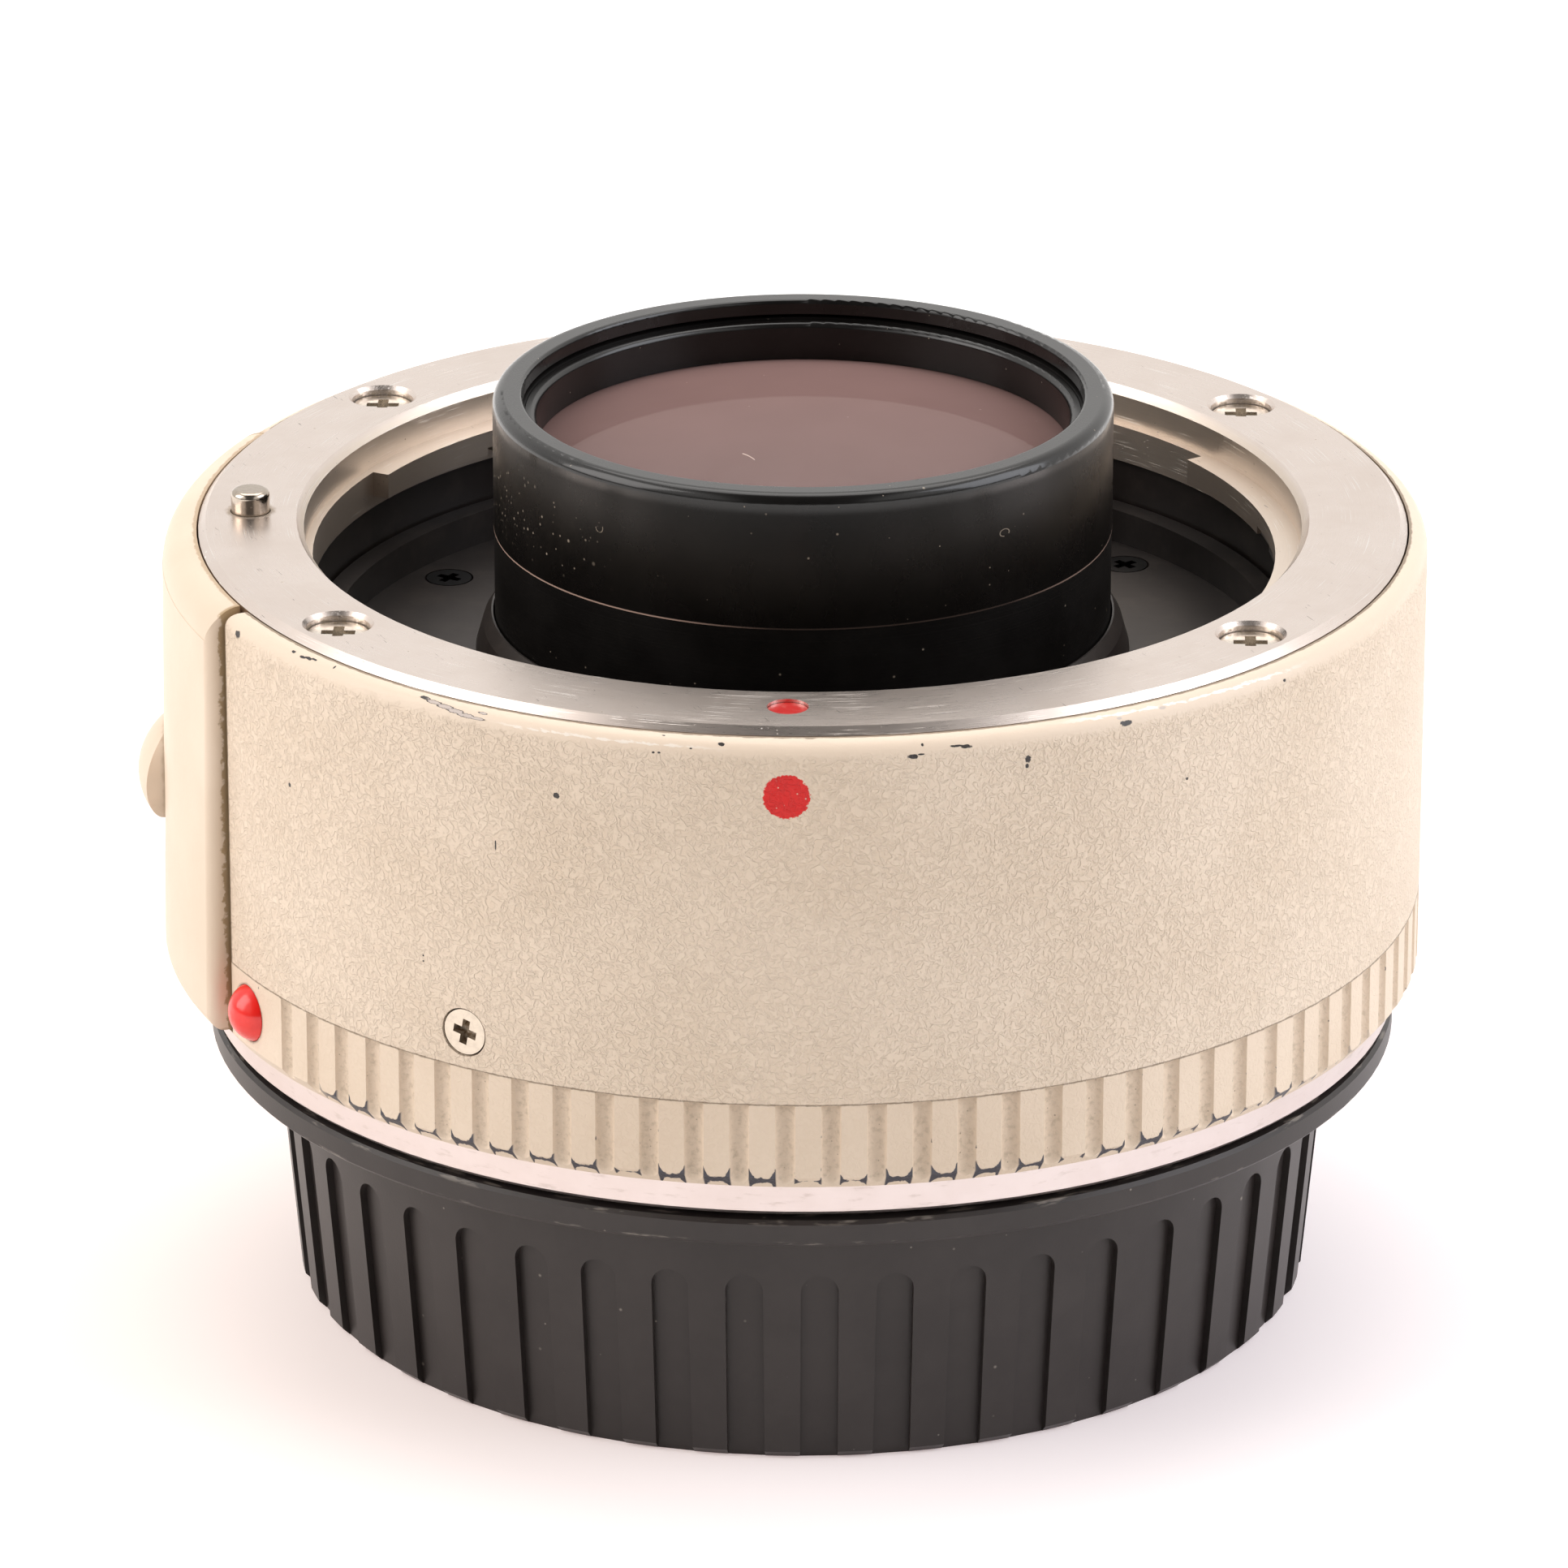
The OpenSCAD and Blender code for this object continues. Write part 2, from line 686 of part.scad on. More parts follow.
// Block that joins the lever's stem to the lock pin
module lever_carriage() {
  color(steel)
    at(lock_az)
      difference() {
        intersection() {
          ring(carriage_in, carriage_out, carriage_low, carriage_high);
          translate([0, -carriage_w / 2, carriage_low])
            cube([body_r, carriage_w, carriage_high - carriage_low]);
        }
        translate([stem_in - seat_fit, -stem_w / 2 - seat_fit, z_knob - stem_h / 2 - seat_fit])
          cube([ear_t + over, stem_w + 2 * seat_fit, stem_h + 2 * seat_fit]);
        translate([pin_r, 0, carriage_low - over])
          cylinder(r = pin_tail_d / 2 + seat_fit, h = carriage_high - carriage_low + 2 * over);
      }
}

pin_engage = 0.3;
pin_floor_gap = 0.15;
frame_base_t = pin_engage + lever_travel + pin_floor_gap;
z_base = z_ring + frame_base_t;
pin_round = 0.35;

// Pin with a thick head that slides in the flange and a thin tail in the frame
module lock_pin() {
  top = z_front + pin_rise;
  color(steel)
    at(lock_az)
      translate([pin_r, 0, 0])
        rotate_extrude()
          difference() {
            polygon([[0, z_base - pin_engage], [pin_tail_d / 2, z_base - pin_engage],
                     [pin_tail_d / 2, carriage_high], [pin_d / 2, carriage_high], [pin_d / 2, top],
                     [0, top]]);
            translate([pin_d / 2, top]) corner(pin_round);
          }
}

module lock_spring() {
  color(steel)
    at(lock_az)
      translate([pin_r, 0, 0])
        coil(pin_tail_d / 2 + slide_fit + spring_wire, spring_wire, z_base, carriage_low, spring_coils);
}

// Front mount

mount_head_h = 1;
mount_head_drop = 0.5;
mount_screw_l = 6;
tab_root = throat_wall / 2;
throat_low_r = throat_r - throat_ledge;
z_tab = z_front - tab_depth;
z_tab_low = z_tab - tab_t;
leaf_room_h = 1.5 * leaf_t;
leaf_room_angle = 30;
leaf_room_turn = -7;
head_bevel = 0.2;

module mount_screw_place(az) {
  at(az) translate([mount_screw_r, 0, z_front - mount_head_drop]) children();
}

module front_mount() {
  color(steel)
    difference() {
      union() {
        rotate_extrude()
          polygon([[throat_low_r, z_throat], [throat_r + throat_wall, z_throat],
                   [throat_r + throat_wall, z_front - flange_t], [flange_r, z_front - flange_t],
                   [flange_r, z_front - flange_bevel], [flange_r - flange_bevel, z_front],
                   [throat_r + throat_bevel, z_front], [throat_r, z_front - throat_bevel_h],
                   [throat_r, z_tab], [throat_low_r, z_tab]]);
        for (az = tab_places)
          at(az)
            difference() {
              arc(throat_r - tab_in, throat_r + tab_root, z_tab_low, z_tab, tab_angle);
              rotate([0, 0, leaf_room_turn])
                arc(throat_r - tab_in - over, throat_r + throat_wall, z_tab_low - over,
                    z_tab_low + leaf_room_h, leaf_room_angle);
            }
      }
      for (az = mount_screw_places)
        mount_screw_place(az) {
          screw_hole(mount_screw_d, mount_screw_l, mount_head_d, mount_head_h);
          translate([0, 0, mount_head_drop - head_bevel])
            cylinder(r1 = mount_head_d / 2 + seam_gap, r2 = mount_head_d / 2 + seam_gap + 2 * head_bevel,
                     h = 2 * head_bevel);
        }
      at(lock_az)
        translate([pin_r, 0, z_front - flange_t - over])
          cylinder(r = pin_d / 2 + slide_fit, h = flange_t + 2 * over);
      translate([0, -throat_r - dot_inset, z_front - dot_depth])
        cylinder(r = dot_d / 2 + seat_fit, h = dot_depth + over);
    }
}

module front_mount_screws() {
  color(steel)
    for (az = mount_screw_places)
      mount_screw_place(az) screw(mount_screw_d, mount_screw_l, mount_head_d, mount_head_h, -az);
}

// Red enamel at the bottom of its recess
module mounting_dot() {
  enamel_t = dot_depth / 2;
  color(red)
    translate([0, -throat_r - dot_inset, z_front - dot_depth]) cylinder(d = dot_d, h = enamel_t);
}

// Leaf springs in the rooms under the tabs, with both ends on the tab and the middle bowed down
module leaf_springs() {
  top = z_tab_low + leaf_room_h;
  r_in = throat_r - tab_in + seam_gap;
  r_out = throat_low_r - seam_gap;
  end_angle = 5;
  bend_angle = 1;
  span = leaf_room_angle - 2;
  color(steel)
    for (az = tab_places)
      at(az + leaf_room_turn)
        difference() {
          arc(r_in, r_out, top - 2 * leaf_t, top, span);
          arc(r_in - over, r_out + over, top - leaf_t, top + over, span - 2 * end_angle - bend_angle);
          for (side = [-1, 1])
            rotate([0, 0, side * span / 2])
              arc(r_in - over, r_out + over, top - 2 * leaf_t - over, top - leaf_t,
                  2 * end_angle - bend_angle);
        }
}

// Frame

post_d = 2 * (mount_screw_inset - throat_wall - seam_gap);
post_z = z_seam + free_gap;
floor_post_d = 3.6;
floor_screw_l = floor_post_h + web_t / 2;
floor_head_h = 0.7;
board_post_h = 0.8;
board_post_d = 2.4;
board_screw_l = board_t + board_post_h + web_t / 2;
board_head_h = 0.6;
board_screw_r = (barrel_rear_d / 2 + frame_in) / 2;
board_places = [0, 90, 270];
chip_places = [45, 135, 225, 315];
barrel_flange_w = 3.1;
barrel_screw_r = barrel_r + barrel_flange_w / 2;
barrel_screw_l = barrel_flange_t + web_t / 2;
barrel_head_h = 0.8;
barrel_rear_r = barrel_rear_d / 2;
flex_w = 8;
flex_t = 0.3;
contact_out = floor_r - free_gap;
contact_in = contact_out - contact_block_w;
contact_mid = (contact_in + contact_out) / 2;
rear_screw_l = frame_base_t;
rear_head_h = rear_flange_t * 0.7;
z_board = z_web - web_t - board_post_h;
base_in = rear_bore_r + seam_gap;

module main_frame() {
  color(black)
    difference() {
      union() {
        ring(frame_in, frame_r, z_ring, z_throat - seam_gap);
        ring(base_in, ring_in - free_gap, z_ring, z_base);
        ring(barrel_rear_r + seat_fit, frame_in + over / 2, z_web - web_t, z_web);
        for (az = mount_screw_places)
          at(az) {
            translate([mount_screw_r, 0, post_z]) cylinder(d = post_d, h = z_front - flange_t - post_z);
            translate([frame_r - frame_wall / 2, -post_d / 4, post_z])
              cube([mount_screw_r - frame_r, post_d / 2, z_throat - free_gap - post_z]);
          }
        for (az = floor_screw_places)
          at(az)
            translate([floor_screw_r, 0, z_web - web_t / 2])
              cylinder(d = floor_post_d, h = floor_post_h + web_t / 2);
        for (az = board_places)
          at(az)
            translate([board_screw_r, 0, z_board])
              cylinder(d = board_post_d, h = board_post_h + web_t / 2);
      }
      for (az = mount_screw_places)
        mount_screw_place(az)
          translate([0, 0, -mount_head_h - mount_screw_l - seam_gap])
            cylinder(r = mount_screw_d / 2 + seat_fit, h = mount_screw_l + 2 * over);
      for (az = floor_screw_places)
        at(az)
          translate([floor_screw_r, 0, z_floor - floor_head_h - floor_screw_l - seam_gap])
            cylinder(r = small_screw_d / 2 + seat_fit, h = floor_screw_l + over);
      for (az = barrel_screw_places)
        at(az)
          translate([barrel_screw_r, 0, z_web - web_t - over])
            cylinder(r = small_screw_d / 2 + seat_fit, h = web_t + 2 * over);
      for (az = board_places)
        at(az)
          translate([board_screw_r, 0, z_board - over])
            cylinder(r = small_screw_d / 2 + seat_fit, h = board_post_h + web_t / 2 + seam_gap + over);
      for (az = rear_screw_places)
        at(az)
          translate([rear_screw_r, 0, z_ring - over])
            cylinder(r = mount_screw_d / 2 + seat_fit, h = frame_base_t + 2 * over);
      at(contact_az)
        translate([contact_mid - flex_t / 2 - seam_gap, -flex_w / 2 - seam_gap, z_web - web_t - over])
          cube([flex_t + 2 * seam_gap, flex_w + 2 * seam_gap, web_t + 2 * over]);
      at(lock_az)
        translate([pin_r, 0, z_ring - over])
          cylinder(r = pin_tail_d / 2 + slide_fit, h = frame_base_t + 2 * over);
    }
}

// Throat floor: a black dish with a ledge round it and a collar round the barrel

collar_in = barrel_r + seam_gap;
collar_r = collar_in + collar_t;
collar_foot_r = collar_r + collar_foot_w;
contact_angle = (contact_n + 1) * contact_pitch;

module throat_floor() {
  color(black)
    difference() {
      rotate_extrude()
        polygon([[collar_in, z_floor - floor_t], [ledge_r, z_floor - floor_t], [ledge_r, z_ledge],
                 [floor_r, z_ledge], [floor_r, z_floor], [collar_foot_r, z_floor],
                 [collar_foot_r, z_floor + collar_foot_h],
                 [collar_r, z_floor + collar_h - collar_slope_h],
                 [collar_in + seam_gap, z_floor + collar_h], [collar_in, z_floor + collar_h]]);
      for (az = floor_screw_places)
        at(az)
          translate([floor_screw_r, 0, z_floor])
            screw_hole(small_screw_d, floor_screw_l, small_head_d, floor_head_h);
      at(contact_az)
        arc(contact_in - seam_gap, contact_out + seam_gap, z_floor - floor_t - over, z_floor + over,
            contact_angle + 1);
    }
}

module floor_screws() {
  color(grey)
    for (az = floor_screw_places)
      at(az)
        translate([floor_screw_r, 0, z_floor])
          screw(small_screw_d, floor_screw_l, small_head_d, floor_head_h);
}

// Barrel, hood and lenses

front_lens_top = z_hood - front_lens_depth;
front_seat = front_lens_top - front_lens_t;
front_spacer_h = 3.1;
pair_top = front_seat - front_spacer_h;
pair_joint = pair_top - pair_front_t;
pair_seat = pair_joint - pair_rear_t;
lens_fit = seat_fit;
lens_slack = 0.2;
pair_front_r = 60;
pair_back_r = 60;
inner_lens_r = 45;
inner_back_r = 60;
rear_hollow_r = 40;
rear_back_r = 60;
front_back_r = 150;
barrel_end_gap = 1.45;
z_barrel = z_ring + barrel_end_gap;
rear_ring_h = 1.65;
rear_ring_slack = 0.35;
rear_low = z_barrel + rear_ring_h + rear_ring_slack;
rear_top = rear_low + rear_lens_t;
inner_seat_drop = 0.6;
inner_seat = z_web - inner_seat_drop;
inner_bulge = sag(inner_lens_r, rear_lens_d / 2) - sag(inner_lens_r, rear_lens_d / 2 - spacer_t);
inner_top = inner_seat - inner_bulge - seat_fit;
inner_low = inner_top - inner_lens_t;
neck_r = hood_r - hood_wall - seat_fit;
front_lens_edge = neck_r - neck_t - lens_fit;
pair_edge = front_lens_edge - front_seat_w;
rear_edge = rear_lens_d / 2;
hood_bore_r = front_lens_edge + hood_rim_gap;
front_ring_w = 0.6;
front_bulge = sag(front_lens_r, front_lens_edge) - sag(front_lens_r, front_lens_edge - front_ring_w);
front_ring_low = front_lens_top + front_bulge + seat_fit;
hood_lip = 1;
z_neck_top = z_hood - hood_lip;
stop_r = rear_edge - spacer_t;

module lens_barrel() {
  color(black)
    difference() {
      rotate_extrude()
        polygon([[rear_edge + lens_fit, z_barrel], [barrel_rear_r, z_barrel], [barrel_rear_r, z_web],
                 [barrel_r + barrel_flange_w, z_web],
                 [barrel_r + barrel_flange_w, z_web + barrel_flange_t],
                 [barrel_r, z_web + barrel_flange_t], [barrel_r, z_neck], [neck_r, z_neck],
                 [neck_r, z_neck_top], [front_lens_edge + lens_fit, z_neck_top],
                 [front_lens_edge + lens_fit, front_seat], [pair_edge + lens_fit, front_seat],
                 [pair_edge + lens_fit, pair_seat], [stop_r, pair_seat], [stop_r, inner_seat],
                 [rear_edge + lens_fit, inner_seat]]);
      for (az = barrel_screw_places)
        at(az)
          translate([barrel_screw_r, 0, z_web - over])
            cylinder(r = small_screw_d / 2 + seat_fit, h = barrel_flange_t + 2 * over);
    }
}

module barrel_screws() {
  color(grey)
    for (az = barrel_screw_places)
      at(az)
        translate([barrel_screw_r, 0, z_web + barrel_flange_t + barrel_head_h])
          screw(small_screw_d, barrel_screw_l, small_head_d, barrel_head_h);
}

module front_hood() {
  lip = z_neck_top + lens_slack;
  color(black)
    rotate_extrude()
      difference() {
        polygon([[neck_r + seat_fit, z_neck], [hood_r, z_neck], [hood_r, z_hood], [hood_bore_r, z_hood],
                 [hood_bore_r, lip], [neck_r + seat_fit, lip]]);
        translate([hood_r, z_hood]) corner(hood_round);
        translate([hood_bore_r, z_hood]) mirror([1, 0]) corner(hood_round / 3);
      }
}

module front_retaining_ring() {
  color(black)
    rotate_extrude()
      difference() {
        translate([front_lens_edge - front_ring_w, front_ring_low])
          square([front_ring_w, z_neck_top - seam_gap - front_ring_low]);
        translate([front_lens_edge - front_ring_w, z_neck_top - seam_gap])
          mirror([1, 0]) corner(front_ring_w / 2);
      }
}

module front_lens() {
  color(glass) lens(front_lens_edge, front_seat, front_lens_top, front_lens_r, -front_back_r);
}

module front_spacer() {
  color(black) ring(pair_edge - spacer_t, pair_edge, pair_top + lens_slack, front_seat - 1.5 * lens_slack);
}

module pair_front_lens() {
  color(glass) lens(pair_edge, pair_joint, pair_top, pair_front_r, cement_r);
}

module pair_rear_lens() {
  color(glass) lens(pair_edge, pair_seat, pair_joint, -cement_r, -pair_back_r);
}

module inner_lens() {
  color(glass) lens(rear_edge, inner_low, inner_top, inner_lens_r, inner_back_r);
}

module rear_spacer() {
  color(black) ring(rear_edge - spacer_t, rear_edge, rear_top, inner_low - lens_slack);
}

module rear_lens() {
  color(glass) lens(rear_edge, rear_low, rear_top, -rear_hollow_r, rear_back_r);
}

module rear_retaining_ring() {
  color(black) ring(rear_edge - 2 * spacer_t, rear_edge, z_barrel, z_barrel + rear_ring_h);
}

// Front contacts, on the side away from the mounting dot

block_top = z_floor + contact_block_h;
contact_sole = 1.2;
spring_seat = z_web + contact_sole;
contact_body_l = 2.8;
contact_low = block_top - contact_body_l;
contact_places = [for (i = [0:contact_n - 1]) contact_az + (i - (contact_n - 1) / 2) * contact_pitch];

module front_contact_block() {
  color(black)
    difference() {
      at(contact_az) arc(contact_in, contact_out, z_web, block_top, contact_angle);
      for (az = contact_places)
        at(az)
          translate([contact_mid, 0, spring_seat])
            cylinder(r = contact_d / 2 + slide_fit, h = block_top - spring_seat + over);
    }
}

module contact_pins() {
  tip_round = contact_d * 0.3;
  tip = block_top + contact_travel + contact_proud;
  color(brass)
    for (az = contact_places)
      at(az)
        translate([contact_mid, 0, 0])
          rotate_extrude()
            difference() {
              translate([0, contact_low]) square([contact_d / 2, tip - contact_low]);
              translate([contact_d / 2, tip]) corner(tip_round);
            }
}

// The coil springs under the contact pins, each as a sleeve of its outer size
module contact_springs() {
  wall = 0.3;
  sleeve_r = contact_d / 2 - slide_fit;
  color(steel)
    for (az = contact_places)
      at(az)
        translate([contact_mid, 0, 0]) ring(sleeve_r - wall, sleeve_r, spring_seat, contact_low);
}

module contact_flex() {
  color(brass)
    at(contact_az)
      translate([contact_mid - flex_t / 2, -flex_w / 2, z_board])
        cube([flex_t, flex_w, z_web - z_board]);
}

module circuit_board() {
  chip_h = 1;
  chip_l = 5;
  chip_w = 6;
  color(green)
    difference() {
      union() {
        ring(barrel_rear_r + free_gap, frame_in - free_gap, z_board - board_t, z_board);
        for (az = chip_places)
          at(az)
            translate([board_screw_r - chip_l / 2, -chip_w / 2, z_board - board_t - chip_h])
              cube([chip_l, chip_w, chip_h + board_t / 2]);
      }
      for (az = board_places)
        at(az)
          translate([board_screw_r, 0, z_board - board_t - over])
            cylinder(r = small_screw_d / 2 + seat_fit, h = board_t + 2 * over);
    }
}

module board_screws() {
  color(steel)
    for (az = board_places)
      at(az)
        translate([board_screw_r, 0, z_board - board_t - board_head_h])
          mirror([0, 0, 1]) screw(small_screw_d, board_screw_l, small_head_d, board_head_h);
}

// Rear mount

mask_seat = 0.9;
mask_r = rear_bore_r + mask_seat;
lock_slot_d = 2.4;
lock_slot_l = 1;

module rear_screw_place(az) {
  at(az) translate([rear_screw_r, 0, z_rear]) mirror([0, 0, 1]) children();
}

module rear_mount() {
  edge = 0.25;
  color(steel)
    difference() {
      union() {
        rotate_extrude()
          polygon([[rear_bore_r, z_rear - rear_tube_h], [rear_tube_r - edge, z_rear - rear_tube_h],
                   [rear_tube_r, z_rear - rear_tube_h + edge], [rear_tube_r, z_rear],
                   [rear_flange_r - edge, z_rear], [rear_flange_r, z_rear + edge],
                   [rear_flange_r, z_ring], [mask_r + seat_fit, z_ring],
                   [mask_r + seat_fit, z_ring - mask_t - seat_fit],
                   [rear_bore_r, z_ring - mask_t - seat_fit]]);
        for (az = rear_tab_places)
          at(az)
            arc(rear_tube_r - rear_tube_wall / 2, rear_tab_r, z_rear - rear_tab_gap - rear_tab_t,
                z_rear - rear_tab_gap, rear_tab_angle);
      }
      for (az = rear_screw_places)
        rear_screw_place(az) screw_hole(mount_screw_d, rear_screw_l, mount_head_d, rear_head_h);
      at(lock_az)
        for (step = [0, 1])
          translate([pin_r - step * lock_slot_l, 0, z_rear - over])
            cylinder(d = lock_slot_d, h = rear_flange_t * 0.75 + over);
    }
}

module rear_mount_screws() {
  color(steel)
    for (az = rear_screw_places)
      rear_screw_place(az) screw(mount_screw_d, rear_screw_l, mount_head_d, rear_head_h);
}

// Black mask behind the rear lens, in a recess of the mount
module rear_mask() {
  window_round = 2;
  color(black)
    difference() {
      translate([0, 0, z_ring - mask_t]) cylinder(r = mask_r, h = mask_t);
      translate([0, 0, z_ring - mask_t - over])
        linear_extrude(mask_t + 2 * over)
          union() {
            square([window_w, window_h - 2 * window_round], center = true);
            square([window_w - 2 * window_round, window_h], center = true);
            for (x = [-1, 1], y = [-1, 1])
              translate([x * (window_w / 2 - window_round), y * (window_h / 2 - window_round)])
                circle(window_round);
          }
    }
}

pad_pitch = 5.2;
pad_angle = 3.4;
pad_t = 0.4;
pad_proud = 0.1;
pad_edge = 0.4;
rear_block_out = rear_bore_r - seam_gap;
rear_block_in = rear_block_out - rear_block_w;
rear_block_top = z_ring - mask_t;
rear_block_low = rear_block_top - rear_block_h;
pad_places = [for (i = [0:pad_n - 1]) contact_az + (i - (pad_n - 1) / 2) * pad_pitch];

module rear_contact_block() {
  color(black)
    difference() {
      at(contact_az)
        arc(rear_block_in, rear_block_out, rear_block_low, rear_block_top, (pad_n + 1) * pad_pitch);
      for (az = pad_places)
        at(az)
          arc(rear_block_in + pad_edge, rear_block_out - pad_edge, rear_block_low - over,
              rear_block_low + pad_t - pad_proud, pad_angle);
    }
}

module rear_contact_pads() {
  color(brass)
    for (az = pad_places)
      at(az)
        arc(rear_block_in + pad_edge + seat_fit, rear_block_out - pad_edge - seat_fit,
            rear_block_low - pad_proud, rear_block_low + pad_t - pad_proud, pad_angle - 0.2);
}

// Rear cap

cap_rim_r = rear_flange_r - cap_rim_inset;
cap_clear = 0.9;
cap_in = rear_tab_r + cap_clear;
cap_top_r = cap_in + cap_wall;
cap_foot_r = cap_top_r - cap_taper;
cap_under = cap_h - cap_rim_h;
cap_low_in = cap_foot_r - flute_d - cap_wall;
cap_step_drop = 1.1;
cap_step = z_rear - rear_tab_gap - rear_tab_t - cap_step_drop;
cap_foot_edge = 0.4;
cap_groove_d = 0.4;
cap_groove_w = 1.6;
cap_foot_w = 1.4;
cap_groove_r = cap_low_in - cap_foot_w;
cap_rim_edge = 0.2;
lug_clear = 0.4;
lug_r = rear_tube_r + lug_clear;
lug_drop = 0.25;
lug_top = cap_h - lug_drop;
flute_first_az = 3.4;
cap_tilt = atan(cap_taper / cap_under);

// Flute cutter: a flat floor along the tapered side and a round upper end
module flute() {
  translate([cap_foot_r - flute_d, 0, 0])
    rotate([0, cap_tilt, 0])
      rotate([90, 0, 90])
        linear_extrude(flute_d + 2 * over)
          union() {
            translate([-flute_w / 2, -over]) square([flute_w, flute_h - flute_w / 2 + over]);
            translate([0, flute_h - flute_w / 2]) circle(d = flute_w);
          }
}

module rear_cap() {
  color(black)
    difference() {
      union() {
        rotate_extrude()
          polygon([[0, 0], [cap_groove_r - cap_groove_w, 0], [cap_groove_r - cap_groove_w, cap_groove_d],
                   [cap_groove_r, cap_groove_d], [cap_groove_r, 0],
                   [cap_foot_r - cap_foot_edge, 0], [cap_foot_r, cap_foot_edge], [cap_top_r, cap_under],
                   [cap_rim_r - cap_rim_edge, cap_under], [cap_rim_r, cap_under + cap_rim_edge],
                   [cap_rim_r, cap_h - cap_rim_edge], [cap_rim_r - cap_rim_edge, cap_h],
                   [cap_in, cap_h], [cap_in, cap_step], [cap_low_in, cap_step],
                   [cap_low_in, cap_end_t], [0, cap_end_t]]);
        for (az = rear_tab_places)
          at(az) arc(lug_r, cap_in + cap_wall / 2, lug_top - lug_t, lug_top, rear_tab_angle);
      }
      for (i = [0:flute_n - 1]) at(flute_first_az + 360 * i / flute_n) flute();
    }
}

outer_shell();
grip_ring();
index_dome();
shell_screws();
release_cover();
release_lever();
lever_carriage();
lock_pin();
lock_spring();
front_mount();
front_mount_screws();
leaf_springs();
mounting_dot();
main_frame();
throat_floor();
floor_screws();
lens_barrel();
barrel_screws();
front_hood();
front_retaining_ring();
front_lens();
front_spacer();
pair_front_lens();
pair_rear_lens();
inner_lens();
rear_spacer();
rear_lens();
rear_retaining_ring();
front_contact_block();
contact_pins();
contact_springs();
contact_flex();
circuit_board();
board_screws();
rear_mount();
rear_mount_screws();
rear_mask();
rear_contact_block();
rear_contact_pads();
rear_cap();
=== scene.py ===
# %% [markdown]
# # A camera teleconverter, dressed for its picture
# The solids come from the part's own source, packed as one model. Their shapes are already right,
# down to the screw heads, so this lesson leaves every mesh alone and spends its care on light and
# on finishes: crinkle paint, turned steel, blackened metal, coated glass and moulded plastic, each
# with the wear of a converter in use.

# %% Load the solids and free them from their parents
import bpy
import math
from mathutils import Matrix, Vector


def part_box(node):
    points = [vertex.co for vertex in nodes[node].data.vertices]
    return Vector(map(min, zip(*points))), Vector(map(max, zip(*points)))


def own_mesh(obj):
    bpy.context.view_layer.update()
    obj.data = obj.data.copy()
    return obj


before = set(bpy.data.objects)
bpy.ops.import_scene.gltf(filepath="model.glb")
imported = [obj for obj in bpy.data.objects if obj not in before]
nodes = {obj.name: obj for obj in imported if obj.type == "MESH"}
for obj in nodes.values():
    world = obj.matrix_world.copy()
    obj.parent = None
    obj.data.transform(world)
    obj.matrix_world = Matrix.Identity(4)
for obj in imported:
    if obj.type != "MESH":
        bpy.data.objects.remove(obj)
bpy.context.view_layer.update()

MM = 0.001

# %% [markdown]
# ## The camera
# A product shot like this one is taken with a long lens from a little above, so that circles stay
# calm ellipses. The viewing angle, the distance and the focal length were worked out from edges
# whose real size is known. The camera's axes are built by hand from its direction, because a tiny
# roll goes in as well. The shift moves the object off the middle of the frame without turning the
# camera.

# %% Place the camera
FRAME_PIXELS = 1932
FOCAL_PIXELS = 12506.8
SHIFT_PIXELS = (-22.77, -49.98)
SENSOR = 36
CAMERA_RISE, CAMERA_TURN, CAMERA_ROLL = (math.radians(a) for a in (21.245, 1.467, 0.105))
CAMERA_AIM = Vector((0, 0, 30 * MM))
CAMERA_DISTANCE = 554.44 * MM
NEAREST_SEEN, FARTHEST_SEEN = 0.01, 20


def axes_towards(away, roll):
    """A camera's turn as a matrix: it looks against the vector 'away', rolled by a small angle."""
    right = Vector((0, 0, 1)).cross(away).normalized()
    up = away.cross(right)
    rolled_right = right * math.cos(roll) + up * math.sin(roll)
    rolled_up = up * math.cos(roll) - right * math.sin(roll)
    return Matrix((rolled_right, rolled_up, away)).transposed()


away = Vector((math.cos(CAMERA_RISE) * math.sin(CAMERA_TURN),
               -math.cos(CAMERA_RISE) * math.cos(CAMERA_TURN),
               math.sin(CAMERA_RISE)))
camera = bpy.data.objects.new("camera", bpy.data.cameras.new("camera"))
bpy.context.scene.collection.objects.link(camera)
camera.matrix_world = axes_towards(away, CAMERA_ROLL).to_4x4()
camera.location = CAMERA_AIM + away * CAMERA_DISTANCE
camera.data.sensor_width = SENSOR
camera.data.lens = FOCAL_PIXELS / FRAME_PIXELS * SENSOR
camera.data.shift_x, camera.data.shift_y = (shift / FRAME_PIXELS for shift in SHIFT_PIXELS)
camera.data.clip_start, camera.data.clip_end = NEAREST_SEEN, FARTHEST_SEEN
bpy.context.scene.camera = camera
bpy.context.scene.view_settings.view_transform = "Standard"
print("camera:", round(camera.data.lens, 1), "mm lens at", [round(v, 3) for v in camera.location])

# %% [markdown]
# ## Writing shaders as sums
# Node trees get hard to read when they are wired one socket at a time. This small class wraps a
# socket, so that `1 - mask` or `wear * 0.4` adds the Math nodes by itself. Every other kind of
# node comes from its one method `node`, which sets the node's settings first and then its sockets.

